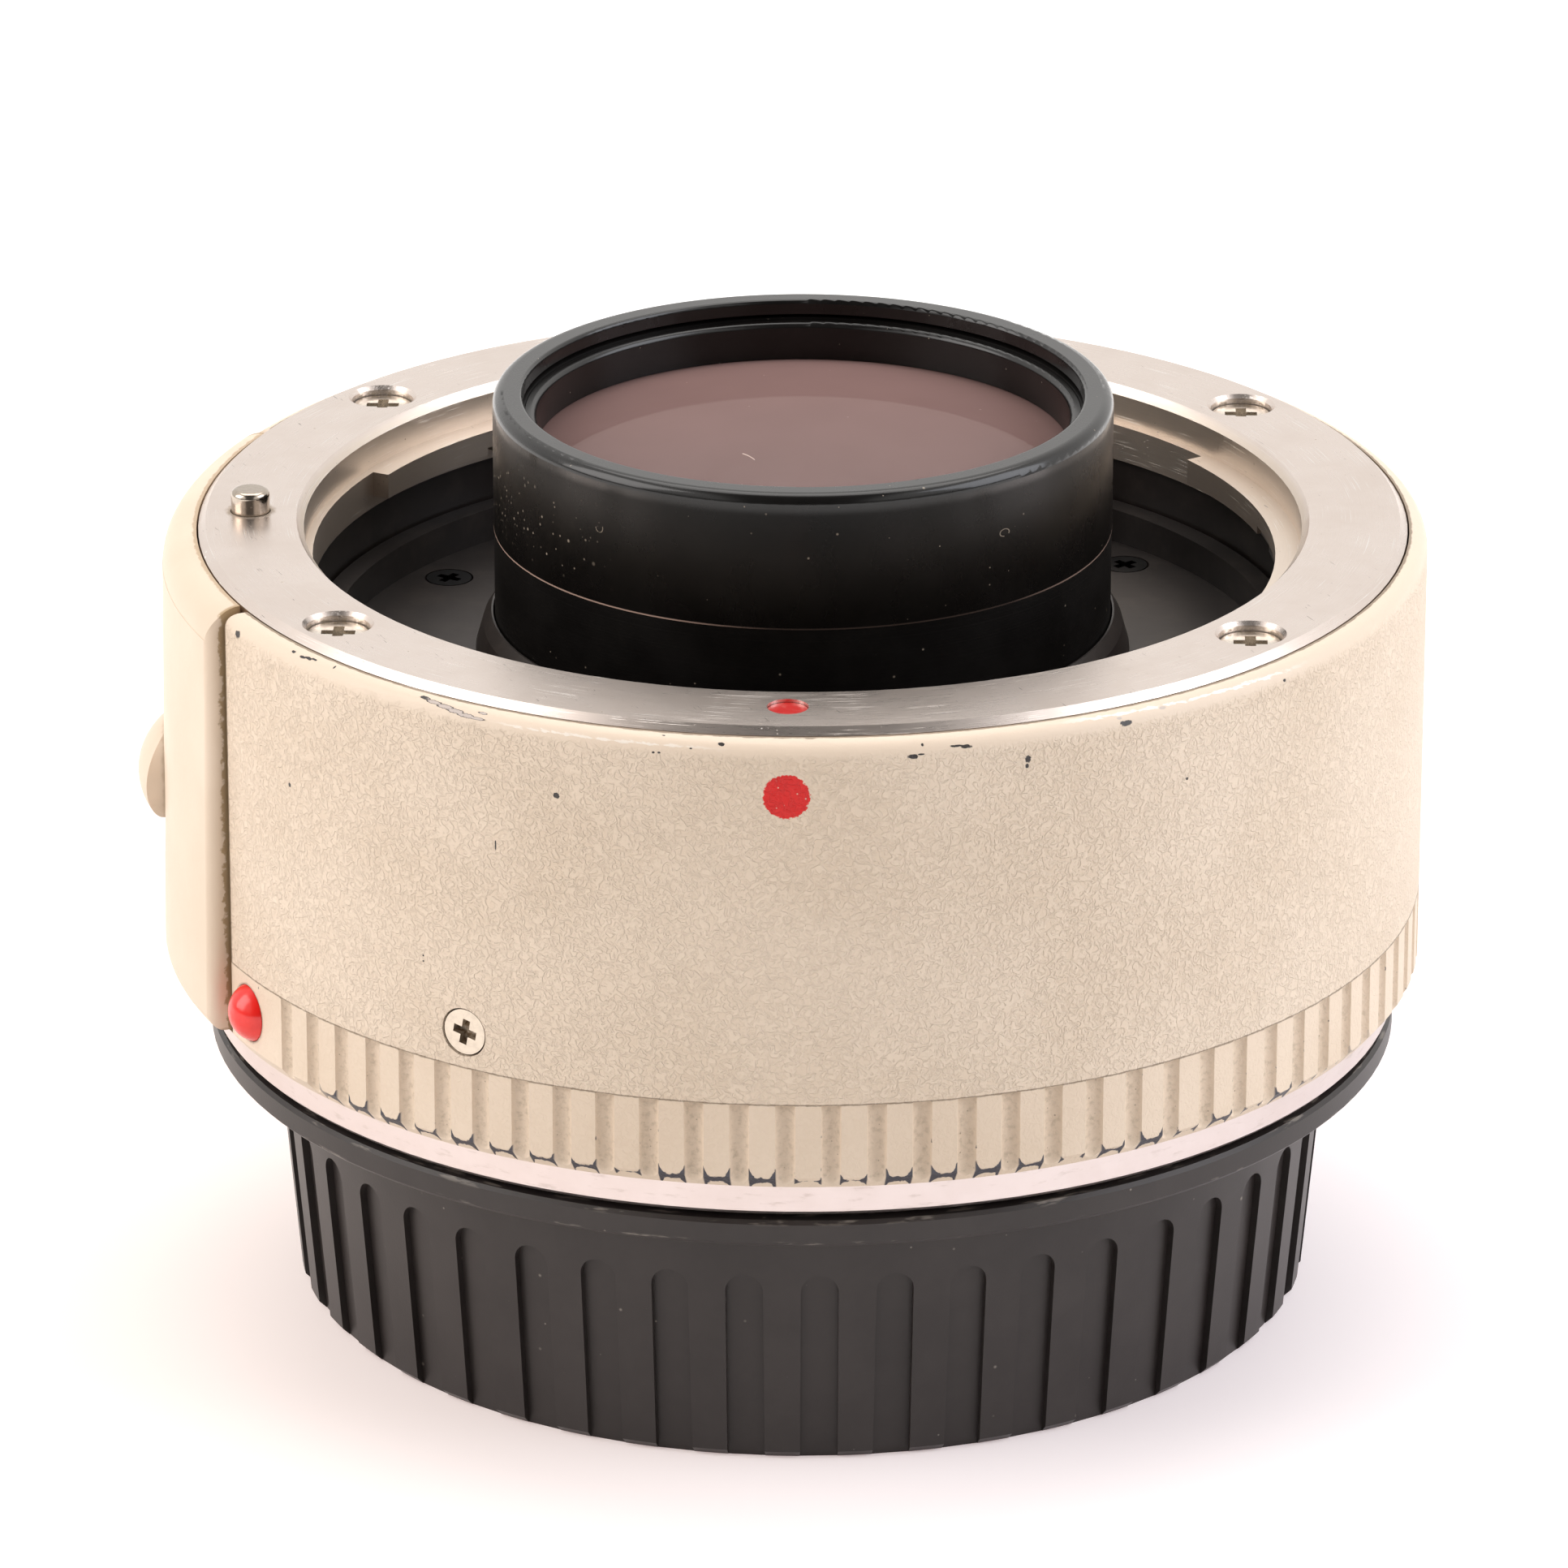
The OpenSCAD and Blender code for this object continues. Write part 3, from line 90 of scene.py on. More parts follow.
# %% A socket that answers to arithmetic
class Wire:
    def __init__(self, socket):
        self.socket = socket
        self.tree = socket.id_data

    def node(self, kind, settings=None, sockets=None, out=0):
        """Add a node, set it up, fill its sockets with values or wires, and give one output."""
        made = self.tree.nodes.new(kind)
        for name, value in (settings or {}).items():
            setattr(made, name, value)
        for key, value in (sockets or {}).items():
            if isinstance(value, Wire):
                self.tree.links.new(value.socket, made.inputs[key])
            else:
                made.inputs[key].default_value = value
        return Wire(made.outputs[out])

    def beside(self, out):
        """Another output of the node that this wire comes from."""
        return Wire(self.socket.node.outputs[out])

    def sum(self, sign, first, second=0.0):
        """A Math node, whose operation is 'sign'."""
        return self.node("ShaderNodeMath", {"operation": sign}, {0: first, 1: second})

    def __add__(self, other): return self.sum("ADD", self, other)
    def __radd__(self, other): return self.sum("ADD", other, self)
    def __sub__(self, other): return self.sum("SUBTRACT", self, other)
    def __rsub__(self, other): return self.sum("SUBTRACT", other, self)
    def __mul__(self, other): return self.sum("MULTIPLY", self, other)
    def __rmul__(self, other): return self.sum("MULTIPLY", other, self)
    def __pow__(self, other): return self.sum("POWER", self, other)
    def __abs__(self): return self.sum("ABSOLUTE", self)
    def low(self, other): return self.sum("MINIMUM", self, other)
    def high(self, other): return self.sum("MAXIMUM", self, other)
    def fraction(self): return self.sum("FRACT", self)
    def floor(self): return self.sum("FLOOR", self)
    def rounded(self): return self.sum("ROUND", self)

    def ease(self, start, end):
        """0 at start and 1 at end, smooth between; start may be the larger of the two."""
        if start > end:
            return 1 - self.ease(end, start)
        return self.node("ShaderNodeMapRange", {"interpolation_type": "SMOOTHSTEP"},
                         {"Value": self, "From Min": start, "From Max": end})

    def blend(self, first, second):
        """The first colour where this wire is 0, the second where it is 1."""
        return self.node("ShaderNodeMix", {"data_type": "RGBA"}, {0: self, 6: first, 7: second}, 2)


print("wire: ready")

# %% [markdown]
# ## What a finish knows about its place
# Each solid sits at the origin with its place in its mesh, so Object coordinates are the part's
# own, in metres. For a round object three numbers are handier than x, y and z: the angle around
# the axis, counted from the mounting dot, the distance out from the axis, and the height. A finish
# offers all of them, and four things to draw with: soft noise, scattered specks, a stretch of the
# angle and a relief.

# %% One finish: a material with its coordinates at hand
SKIN = 33.8 * MM
SPECK_EDGE = 0.06


class Finish:
    def __init__(self, name, constants):
        self.material = bpy.data.materials.new(name)
        self.material.use_nodes = True
        self.tree = self.material.node_tree
        self.shader = self.tree.nodes["Principled BSDF"]
        for socket, value in constants.items():
            self.shader.inputs[socket].default_value = value
        self.at = Wire(self.tree.nodes.new("ShaderNodeTexCoord").outputs["Object"])
        self.x = self.at.node("ShaderNodeSeparateXYZ", {}, {0: self.at}, "X")
        self.y, self.z = self.x.beside("Y"), self.x.beside("Z")
        self.out = (self.x * self.x + self.y * self.y) ** 0.5
        self.around = self.at.node("ShaderNodeMath", {"operation": "ARCTAN2"},
                                   {0: self.x, 1: self.y * -1})
        self.along = self.around * SKIN

    def feed(self, socket, wire):
        self.tree.links.new(wire.socket, self.shader.inputs[socket])
        return self

    def spread(self, x, y, z):
        """Coordinates made of three wires, for a pattern that runs round the axis or along it."""
        return self.at.node("ShaderNodeCombineXYZ", {}, {0: x, 1: y, 2: z})

    def grain(self, size, detail=2.0, rough=0.5, swirl=0.0, where=None):
        """Soft noise from 0 to 1 whose lumps are about 'size' metres."""
        return self.at.node("ShaderNodeTexNoise", {}, {
            "Vector": where or self.at, "Scale": 1 / size,
            "Detail": detail, "Roughness": rough, "Distortion": swirl})

    def specks(self, cell, share, size):
        """Scattered dots: this share of the cells has a dot of up to 'size' times the cell."""
        gap = self.at.node("ShaderNodeTexVoronoi", {}, {"Vector": self.at, "Scale": 1 / cell})
        pick = gap.node("ShaderNodeSeparateColor", {}, {0: gap.beside("Color")})
        dot = size * (0.4 + 0.6 * pick.beside(1))
        chosen = pick.ease(1 - share, 1 - share + 0.01)
        return (gap - dot).ease(SPECK_EDGE, -SPECK_EDGE) * chosen

    def stretch(self, fade_in, fade_out):
        """1 over a stretch of the angle, with a soft start and a soft end, in radians."""
        return self.around.ease(*fade_in) * self.around.ease(*fade_out)

    def relief(self, height, depth, strength=1.0):
        """Feed a height to the shader's normal; depth is the relief's size in metres."""
        bump = height.node("ShaderNodeBump", {}, {
            "Strength": strength, "Distance": depth, "Height": height})
        return self.feed("Normal", bump)

    def dress(self, *names):
        for name in names:
            nodes[name].data.materials.clear()
            nodes[name].data.materials.append(self.material)
        print(self.material.name, "on", ", ".join(names))


print("finish: ready")

# %% [markdown]
# ## The room
# The picture is high-key: a white table runs into a white backdrop, with a big soft box at each
# side and another above. The room behind the camera and right above it is dark, which is why the
# hood stays black in front and the bevel of the flange turns dark in its middle. Walls could be
# modelled, but the world can hold such a room without a mesh: white to the camera, bright behind
# the object and at both sides, dark elsewhere.

# %% Paint the room into the world
ROOM_WHITE = (1.0, 0.98, 0.955, 1)
ROOM_DARK = 0.09

world = bpy.data.worlds.new("studio")
bpy.context.scene.world = world
world.use_nodes = True
backdrop = world.node_tree.nodes["Background"]
towards = Wire(world.node_tree.nodes.new("ShaderNodeTexCoord").outputs["Generated"])
sideways = towards.node("ShaderNodeSeparateXYZ", {}, {0: towards}, "X")
ahead, up = sideways.beside("Y"), sideways.beside("Z")
behind = ahead.ease(-0.15, 0.45)
sides = abs(sideways).ease(0.3, 0.5) * up.ease(0.0, 0.4)
room = ROOM_DARK + (1 - ROOM_DARK) * behind.high(sides)
seen = towards.node("ShaderNodeLightPath", out="Is Camera Ray")
world.node_tree.links.new(room.high(seen).socket, backdrop.inputs["Strength"])
backdrop.inputs["Color"].default_value = ROOM_WHITE
print("world: a room from", ROOM_DARK, "to 1 in strength")

# %% [markdown]
# ## The table
# A white plane under soft lamps still comes out light grey. So the table glows a little as well,
# but only in rays that end in the picture: those of the camera, of reflections and of the lens.
# Lamps shade it as before, so the object keeps its shadow. Close to the object the glow is weaker
# and tinted, a painted soft shadow with painted bounce light in it: warmer at the left and cooler
# at the right.

# %% Lay the table
TABLE_SIZE = 12
TABLE_WHITE, TABLE_WHITER = (0.80, 0.785, 0.77, 1), (0.83, 0.815, 0.80, 1)
GLOW_LEFT, GLOW_RIGHT = (0.39, 0.285, 0.245, 1), (0.305, 0.26, 0.295, 1)
GLOW_FAR, NO_GLOW = (0.5, 0.5, 0.5, 1), (0, 0, 0, 1)
GLOW_TURN, GLOW_FADE = (-0.07, 0.07), (0.05, 0.17)

bpy.ops.object.select_all(action="DESELECT")
bpy.ops.mesh.primitive_plane_add(size=TABLE_SIZE)
floor = bpy.context.object
floor.name = "studio_floor"
table = Finish("white_table",
               {"Roughness": 0.9, "Specular IOR Level": 0.1, "Emission Strength": 1.0})
cloud = table.grain(0.12, 3)
table.feed("Base Color", cloud.ease(0.3, 0.7).blend(TABLE_WHITE, TABLE_WHITER))
seen = table.at.node("ShaderNodeLightPath", out="Is Camera Ray")
shown = seen.high(seen.beside("Is Glossy Ray")).high(seen.beside("Is Transmission Ray"))
# Near the object the glow is weaker and tinted: a painted soft shadow and painted bounce light, warm
# at the left and cool at the right.
painted_shadow_and_bounce = table.x.ease(*GLOW_TURN).blend(GLOW_LEFT, GLOW_RIGHT)
glow = table.out.ease(*GLOW_FADE).blend(painted_shadow_and_bounce, GLOW_FAR)
table.feed("Emission Color", shown.blend(NO_GLOW, glow))
floor.data.materials.append(table.material)
print("table:", floor.name, TABLE_SIZE, "m wide")

# %% [markdown]
# ## The lamps
# A soft box is a large, even light, so an area lamp stands for it. The two at the sides draw the
# long soft highlights on the paint. The right one is a little bluer, and the one above lights the
# flange from behind. A lamp looks along its own -Z like a camera does, so the same function aims
# it.

# %% Hang the soft boxes
LAMP_AIM = Vector((0, 0, 0.03))
SOFT_BOXES = [  # name, place, width and height, watts, colour
    ("left_box", (-0.62, -0.14, 0.42), (0.5, 0.6), 3.1, (1.0, 0.965, 0.945)),
    ("right_box", (0.62, -0.08, 0.40), (0.5, 0.6), 3.05, (0.89, 0.92, 1.0)),
    ("top_box", (0.0, 0.25, 0.75), (0.7, 0.5), 2.4, (1.0, 0.975, 0.95)),
]

for name, place, size, watts, colour in SOFT_BOXES:
    lamp = bpy.data.lights.new(name, "AREA")
    lamp.shape = "RECTANGLE"
    lamp.size, lamp.size_y = size
    lamp.energy = watts
    lamp.color = colour
    box = bpy.data.objects.new(name, lamp)
    bpy.context.scene.collection.objects.link(box)
    box.matrix_world = axes_towards((Vector(place) - LAMP_AIM).normalized(), 0).to_4x4()
    box.location = place
    box.visible_camera = False
print("lamps:", ", ".join(row[0] for row in SOFT_BOXES))

# %% [markdown]
# ## Crinkle paint
# The body has a cream paint that shrinks into a fine leathery crinkle as it cures; lumps are about
# 0.4 mm. It could be sculpted, but at this size a bump from a swirled noise is cheaper and looks
# the same. The colour is never quite even, and the raised folds get a painted highlight, a paler
# cream for the light they catch, so both are mixed in.

# %% The paint that the body's pieces share
CREAM, CREAM_DEEP = (0.78, 0.635, 0.50, 1), (0.72, 0.575, 0.44, 1)
CREAM_PAINTED_HIGHLIGHT = (0.85, 0.715, 0.58, 1)
SEAM_DIRT = (0.13, 0.08, 0.035, 1)
CRINKLE, BROAD_FOLD, PATCH = 0.38 * MM, 1.1 * MM, 9 * MM


def cream_coat(name, crinkle):
    """A cream finish whose colour and folds stay open, so that each piece adds its own wear."""
    coat = Finish(name, {"Roughness": 0.5, "IOR": 1.5})
    worms = coat.grain(CRINKLE, swirl=1.5)
    folds = worms.ease(0.38, 0.6) * 0.7 + coat.grain(BROAD_FOLD, swirl=0.8) * 0.5
    patches = coat.grain(PATCH, 3).ease(0.3, 0.7)
    # The folds' paler cream is a painted highlight, mixed in by the height of the folds.
    coat.colour = (folds * 0.35 * crinkle).blend(patches.blend(CREAM_DEEP, CREAM), CREAM_PAINTED_HIGHLIGHT)
    coat.folds = folds * crinkle
    coat.up = coat.z - coat.out + SKIN
    return coat


def spots(coat, places, radius=SKIN):
    """How far a point is from the nearest of some worn places, where 1 is the edge of the place.
    A place is its angle in degrees, its height, and its half width and half height in millimetres.
    The paint's height counts on over the rounded rim, so that a place there keeps its shape."""
    nearest = None
    for angle, height, half_w, half_h in places:
        sideways = (coat.around - math.radians(angle)) * (radius / (half_w * MM))
        upright = (coat.up - height * MM) * (1 / (half_h * MM))
        distance = (sideways * sideways + upright * upright) ** 0.5
        nearest = nearest.low(distance) if nearest else distance
    return nearest


print("paint: cream", CREAM[:3])

# %% [markdown]
# ## Chips in the shell's paint
# Knocks have broken the paint off the rounded rim, down to dark metal. The chips sit where the
# real ones are. A painted mask could place them, but then the script would need an image. Each is
# an ellipse in unrolled coordinates instead, and noise tears its edge. The longest chip is a row
# of ellipses that run together; it shows grey primer inside a dark edge.

# %% Where the paint is broken
BARE_METAL, PRIMER = (0.04, 0.034, 0.032, 1), (0.56, 0.475, 0.43, 1)
RIM_CHIPS = [  # angle, height, half width, half height
    (-60.4, 42.31, 0.27, 0.26), (-51.45, 43.35, 0.15, 0.12), (-50.0, 43.28, 0.24, 0.1),
    (-49.2, 43.39, 0.34, 0.12), (-48.5, 43.49, 0.24, 0.09), (-45.7, 43.55, 0.07, 0.16),
    (-51.4, 35.55, 0.13, 0.13), (-5.64, 43.2, 0.19, 0.16), (-10.9, 43.66, 0.09, 0.06),
    (-8.3, 42.76, 0.08, 0.06), (-11.6, 42.31, 0.07, 0.06), (-11.1, 42.33, 0.07, 0.06),
    (11.1, 42.26, 0.3, 0.13), (11.8, 42.36, 0.2, 0.06), (12.0, 43.02, 0.07, 0.13),
    (15.0, 42.74, 0.34, 0.1), (15.9, 42.66, 0.3, 0.15), (21.5, 41.5, 0.14, 0.22),
    (21.4, 41.14, 0.1, 0.15), (31.1, 42.64, 0.36, 0.21), (49.5, 42.39, 0.11, 0.1),
    (-20.5, 39.3, 0.19, 0.17), (-26.5, 35.9, 0.05, 0.28), (-34.3, 28.76, 0.06, 0.06),
    (-34.3, 28.45, 0.06, 0.06), (37.6, 38.7, 0.08, 0.09),
]
LONG_CHIP = [
    (-34.4, 43.5, 0.36, 0.15), (-33.3, 43.34, 0.5, 0.17), (-32.0, 43.2, 0.6, 0.18),
    (-30.8, 43.05, 0.6, 0.19), (-29.6, 42.9, 0.6, 0.17), (-28.4, 42.86, 0.5, 0.11),
    (-28.1, 43.35, 0.3, 0.1),
]
PALE_CHIPS = [(30.6, 43.1, 0.16, 0.12), (35.2, 43.16, 0.24, 0.14)]
PRIMER_STARTS = (math.radians(-34.4), math.radians(-33.7))

shell = cream_coat("shell_cream_crinkle", 1.0)
tear = shell.grain(0.2 * MM, 4, 0.62) - 0.5
chipped = (spots(shell, RIM_CHIPS) + tear * 1.5).ease(1.0, 0.84)
long_edge = spots(shell, LONG_CHIP) + tear * 1.1
broken = long_edge.ease(1.0, 0.9).high(chipped)
pale_chips = (spots(shell, PALE_CHIPS) + tear).ease(1.0, 0.85)
bare_primer = long_edge.ease(0.86, 0.7) * shell.around.ease(*PRIMER_STARTS)
bare_primer = bare_primer.high(pale_chips * 0.8)
print("chips:", len(RIM_CHIPS), "dark,", len(PALE_CHIPS), "pale and one long")

# %% [markdown]
# ## Scuffs on the rim
# A long pale scuff runs along the rim on the right and sinks a little on its way. At the left the
# rim is only rubbed. Both are lines in unrolled coordinates: the distance to the line, roughened
# by streaks that lie at a slant, says where the paint turned pale.

# %% Where the paint is scuffed
SCUFF = (0.93, 0.87, 0.80, 1)
SCUFF_HEIGHT, SCUFF_MIDDLE, SCUFF_FALL = 43.5 * MM, 0.5, 1.36 * MM
SCUFF_RUN = (0.41, 0.52), (0.95, 0.8)
RUB_HEIGHT, RUB_RUN = 42.85 * MM, ((-0.48, -0.42), (-0.06, -0.2))

slant = shell.spread(shell.along * 0.55 + shell.up * 0.5, shell.up, 0.0)
streaks = shell.grain(0.34 * MM, 3, 0.65, where=slant) - 0.5
scuff_line = abs(shell.up - SCUFF_HEIGHT + (shell.around - SCUFF_MIDDLE) * SCUFF_FALL)
scuffed = (scuff_line + streaks * 0.8 * MM).ease(0.15 * MM, 0.05 * MM)
scuffed = scuffed * shell.stretch(*SCUFF_RUN)
rub_line = abs(shell.up - RUB_HEIGHT) + streaks * 0.7 * MM
rubbed = rub_line.ease(0.1 * MM, 0.02 * MM) * shell.stretch(*RUB_RUN) * 0.6
print("scuffs: one long on the right, one rubbed line on the left")

# %% [markdown]
# ## The printed mark and the dirt in the seams
# The round index mark is printed, so its edge is ragged where the ink could not reach into the
# crinkle, and some of it has flaked off low down. Brown dirt has settled where the shell meets its
# neighbours: beside the release cover, inside the rim and at its foot.

# %% Where the ink and the dirt are
RED_INK = (0.70, 0.008, 0.006, 1)
INDEX_MARK = [(0.08, 40.2, 1.2, 1.2)]
FLAKES_FROM, FLAKES_FULL = 41.2 * MM, 40.6 * MM
COVER_MIDDLE, COVER_HALF = math.radians(-88.4), 14.86 * MM
RIM_INSIDE, SHELL_FOOT = 32.9 * MM, 23.02 * MM

flakes = shell.specks(0.36 * MM, 0.4, 0.2).high(shell.specks(0.6 * MM, 0.2, 0.22))
flakes = flakes * shell.z.ease(FLAKES_FROM, FLAKES_FULL)
mark = (spots(shell, INDEX_MARK) + tear * 0.34).ease(1.03, 0.98) * (1 - flakes)
fuzz = shell.grain(0.5 * MM, 3)
from_cover = abs(shell.around - COVER_MIDDLE) * SKIN - COVER_HALF
seam_dirt = (from_cover - fuzz * 0.14 * MM).ease(0.1 * MM, -0.04 * MM)
rim_dirt = (shell.out - RIM_INSIDE + (fuzz - 0.5) * 0.16 * MM).ease(0.08 * MM, 0.0)
foot_dirt = (shell.z - SHELL_FOOT - (fuzz - 0.5) * 0.1 * MM).ease(0.07 * MM, 0.0)
grime = seam_dirt.high(rim_dirt).high(foot_dirt) * 0.75
print("mark: one, at a height of", INDEX_MARK[0][1], "mm")

# %% [markdown]
# ## The shell's coats over each other
# Paint, scuffs, ink, dirt and chips lie over each other in the order in which they came to the
# real shell, so each is mixed over what is there already. The rounded rim is nearly smooth,
# because the paint ran thin there. Chips are cut into the relief, and the ink stands a little
# proud of it.

# %% Paint the shell
CRINKLE_ENDS = (42.7 * MM, 42.0 * MM)

crinkled = shell.up.ease(*CRINKLE_ENDS)
colour = (1 - crinkled).blend(shell.colour, CREAM)
colour = scuffed.high(rubbed).blend(colour, SCUFF)
colour = mark.blend(colour, RED_INK)
colour = grime.blend(colour, SEAM_DIRT)
colour = bare_primer.blend(broken.blend(colour, BARE_METAL), PRIMER)
shell.feed("Base Color", colour)
shell.feed("Roughness", 0.5 + shell.folds * 0.08 - (1 - crinkled) * 0.1 - chipped * 0.1)
shell.relief(shell.folds * (0.06 + 0.94 * crinkled) - broken * 0.8 + mark * 0.1, 0.068 * MM)
shell.dress("outer_shell")

# %% [markdown]
# ## The grip ring's ridges
# The ring is painted like the shell, but its lower bevel has rubbed through to the metal in small
# bow ties, one on each ridge. The grooves are evenly spaced, so the fraction of the angle over
# their pitch says where on a ridge a point is, and a random number per ridge makes each wear
# differ. A thousand is added first, so that the fraction is one of a positive number.

# %% Where the ridges are worn
GROOVES, RIDGE_HALF, KEEP_POSITIVE = 89, 0.28, 1000
BEVEL_FOOT, BEVEL_FOOT_R, BEVEL_SLOPE = 18.15 * MM, 33.2 * MM, 0.8
BEVEL_MIDDLE = 18.66 * MM
WORN_RUN = (-0.86, -0.8), (1.25, 0.9)

ring = cream_coat("ring_cream_crinkle", 0.45)
rub = ring.grain(0.3 * MM, 3) - 0.5
turns = ring.around * (GROOVES / math.tau) + KEEP_POSITIVE
on_ridge = abs(turns.fraction() - 0.5) * (1 / RIDGE_HALF)
ridge_dice = turns.node("ShaderNodeTexWhiteNoise", {"noise_dimensions": "1D"}, {"W": turns.floor()})
bow_tie = (on_ridge.low(1.0) ** 4) * (0.2 + 0.35 * ridge_dice) * MM
bow_tie = 0.26 * MM * ridge_dice - 0.06 * MM + bow_tie
worn_low = (abs(ring.z - BEVEL_MIDDLE) + rub * 0.4 * MM - bow_tie).ease(0.04 * MM, -0.03 * MM)
worn = worn_low * on_ridge.ease(1.12, 1.0) * ring.stretch(*WORN_RUN)
edge_nick = (on_ridge - 0.96 + rub * 0.3).ease(0.0, 0.06) * ring.grain(0.5 * MM, 3).ease(0.66, 0.72)
worn = worn.high(edge_nick * on_ridge.ease(1.1, 1.02))
print("ridges:", GROOVES, "to a full turn")

# %% [markdown]
# ## The grip ring's dirt
# Fingers leave dirt in the grooves, under the shell and round the red dome. A point is in a groove
# where it lies closer to the axis than the ring's skin does at its height, so the mask needs no
# list of grooves.

# %% Paint the grip ring
SLATE, FINGER_DIRT = (0.07, 0.07, 0.082, 1), (0.36, 0.275, 0.185, 1)
GROOVE_FLOOR = (32.9 * MM, 33.1 * MM)
RING_TOP = 22.98 * MM
DOME_PLACE = [(-59.6, 20.85, 1.55, 1.55)]

bevel_skin = (BEVEL_FOOT_R + (ring.z - BEVEL_FOOT) * BEVEL_SLOPE).low(SKIN)
groove = (bevel_skin - ring.out).ease(0.03 * MM, 0.25 * MM) * ring.out.ease(*GROOVE_FLOOR)
grit = ring.grain(0.32 * MM, 4, 0.65).ease(0.45, 0.75)
crumbs = ring.specks(0.35 * MM, 0.2, 0.16) * groove
top_dirt = (ring.z - RING_TOP + rub * 0.12 * MM).ease(-0.05 * MM, 0.02 * MM)
dome_dirt = (spots(ring, DOME_PLACE) + rub * 0.12).ease(1.12, 1.0)
colour = (groove * (0.1 + 0.42 * grit)).blend(ring.colour, FINGER_DIRT)
colour = (crumbs * 0.6).blend(colour, SEAM_DIRT)
colour = worn.blend(colour, SLATE)
colour = (top_dirt.high(dome_dirt) * 0.6).blend(colour, SEAM_DIRT)
ring.feed("Base Color", colour)
ring.feed("Roughness", 0.53 - worn * 0.2)
ring.feed("Metallic", worn * 0.8)
ring.relief(ring.folds - worn * 0.8 + groove * grit * 0.3, 0.035 * MM)
ring.dress("grip_ring")

# %% [markdown]
# ## The release cover
# The raised panel is sprayed smooth, so it shows hardly any crinkle and looks brighter. Brown dirt
# has settled along its upright edges, at its foot, along its top and in the pocket of the knob.
# The masks come from the distance to an edge, loosened by noise so that the line stays irregular.

# %% Paint the cover
FRINGE = (0.36, 0.23, 0.10, 1)
COVER_EDGE_R, COVER_EDGES = 34.0 * MM, (14.2 * MM, 14.45 * MM)
COVER_FOOT = 19.05 * MM
COVER_TOP_R, COVER_TOP = 32.95 * MM, (42.6 * MM, 43.0 * MM)
POCKET_Y, POCKET_SIDES = -0.9 * MM, (3.9 * MM, 3.2 * MM)
POCKET_Z, POCKET_ENDS = 27.6 * MM, (2.9 * MM, 2.3 * MM)

cover = cream_coat("cover_cream_smooth", 0.1)
fuzz = cover.grain(0.45 * MM, 4, 0.6)
loose = fuzz - 0.5
from_middle = abs(cover.around - COVER_MIDDLE) * SKIN
edge_dirt = (cover.out - COVER_EDGE_R + loose * 0.9 * MM).ease(0.08 * MM, -0.08 * MM)
edge_dirt = edge_dirt * from_middle.ease(*COVER_EDGES)
foot = (cover.z - COVER_FOOT - loose * 0.2 * MM).ease(0.1 * MM, 0.0)
top_edge = (cover.out - COVER_TOP_R + loose * 0.3 * MM).ease(0.1 * MM, 0.0)
top_edge = top_edge * cover.z.ease(*COVER_TOP)
pocket = (abs(cover.y - POCKET_Y) + loose * 0.6 * MM).ease(*POCKET_SIDES)
pocket = pocket * (abs(cover.z - POCKET_Z) + loose * 0.6 * MM).ease(*POCKET_ENDS) * 0.5
soil = edge_dirt.high(foot * 0.5).high(top_edge * 0.7).high(pocket) * 0.85
cover.feed("Base Color", soil.blend(cover.colour, FRINGE))
cover.feed("Roughness", 0.44 + 0.1 * fuzz)
cover.relief(cover.folds + fuzz * 0.05, 0.03 * MM)
cover.dress("release_cover")

# %% [markdown]
# ## The knob
# The knob has the same smooth paint. A thumb keeps its top clean. Low down, near the cover, its
# colour turns brown, partly dirt and partly painted shade at its root, so its mask is only the
# distance from the axis.

# %% Paint the knob
KNOB_ROOT_R = 34.9 * MM

knob = cream_coat("knob_cream_smooth", 0.1)
rub = knob.grain(0.4 * MM, 3)
# Brown near the cover: partly dirt, partly painted shade at the knob's root.
root_dirt_and_shade = (knob.out - KNOB_ROOT_R + (rub - 0.5) * 0.35 * MM).ease(0.1 * MM, -0.1 * MM)
knob.feed("Base Color", (root_dirt_and_shade * 0.35).blend(knob.colour, FRINGE))
knob.feed("Roughness", 0.42 + 0.15 * rub)
knob.relief(knob.folds, 0.03 * MM)
knob.dress("release_lever")

# %% [markdown]
# ## Turned and plated steel
# Both mounts are turned on a lathe and plated, so fine rings run round the axis. An anisotropic
# shader could draw them, but stretching a noise along the angle gives real rings: it changes fast
# outwards and slowly round.

# %% The steel that the mounts share
STEEL, STEEL_WARM = (0.78, 0.685, 0.625, 1), (0.70, 0.60, 0.535, 1)


def turned_steel(name, roughness, line):
    """Steel from the lathe, whose rings, tarnish and dull places stay open for a piece's colour."""
    steel = Finish(name, {"Metallic": 1.0, "Roughness": roughness})
    round_ways = steel.spread(steel.out, steel.around * (1.2 * MM), steel.z)
    steel.rings = steel.grain(line, 3, 0.6, where=round_ways)
    steel.tarnish = steel.grain(3.5 * MM, 4, 0.6)
    steel.dull = steel.tarnish.ease(0.35, 0.75) * 0.6
    return steel


def gap_to(steel, places):
    """Distance to the nearest of some points, each given by its radius in millimetres and its
    angle in degrees."""
    nearest = None
    for radius, angle in places:
        dx = steel.x - radius * MM * math.sin(math.radians(angle))
        dy = steel.y + radius * MM * math.cos(math.radians(angle))
        gap = (dx * dx + dy * dy) ** 0.5
        nearest = nearest.low(gap) if nearest else gap
    return nearest


print("steel: turned, from", STEEL[:3], "to", STEEL_WARM[:3])

# %% [markdown]
# ## Marks on the front flange
# Lenses that were put on and off have left scratches that run round as well, and a few cuts run
# across. Old dirt sits in small pits, in the wells of the screws and round the lock pin. The outer
# edge is nicked.

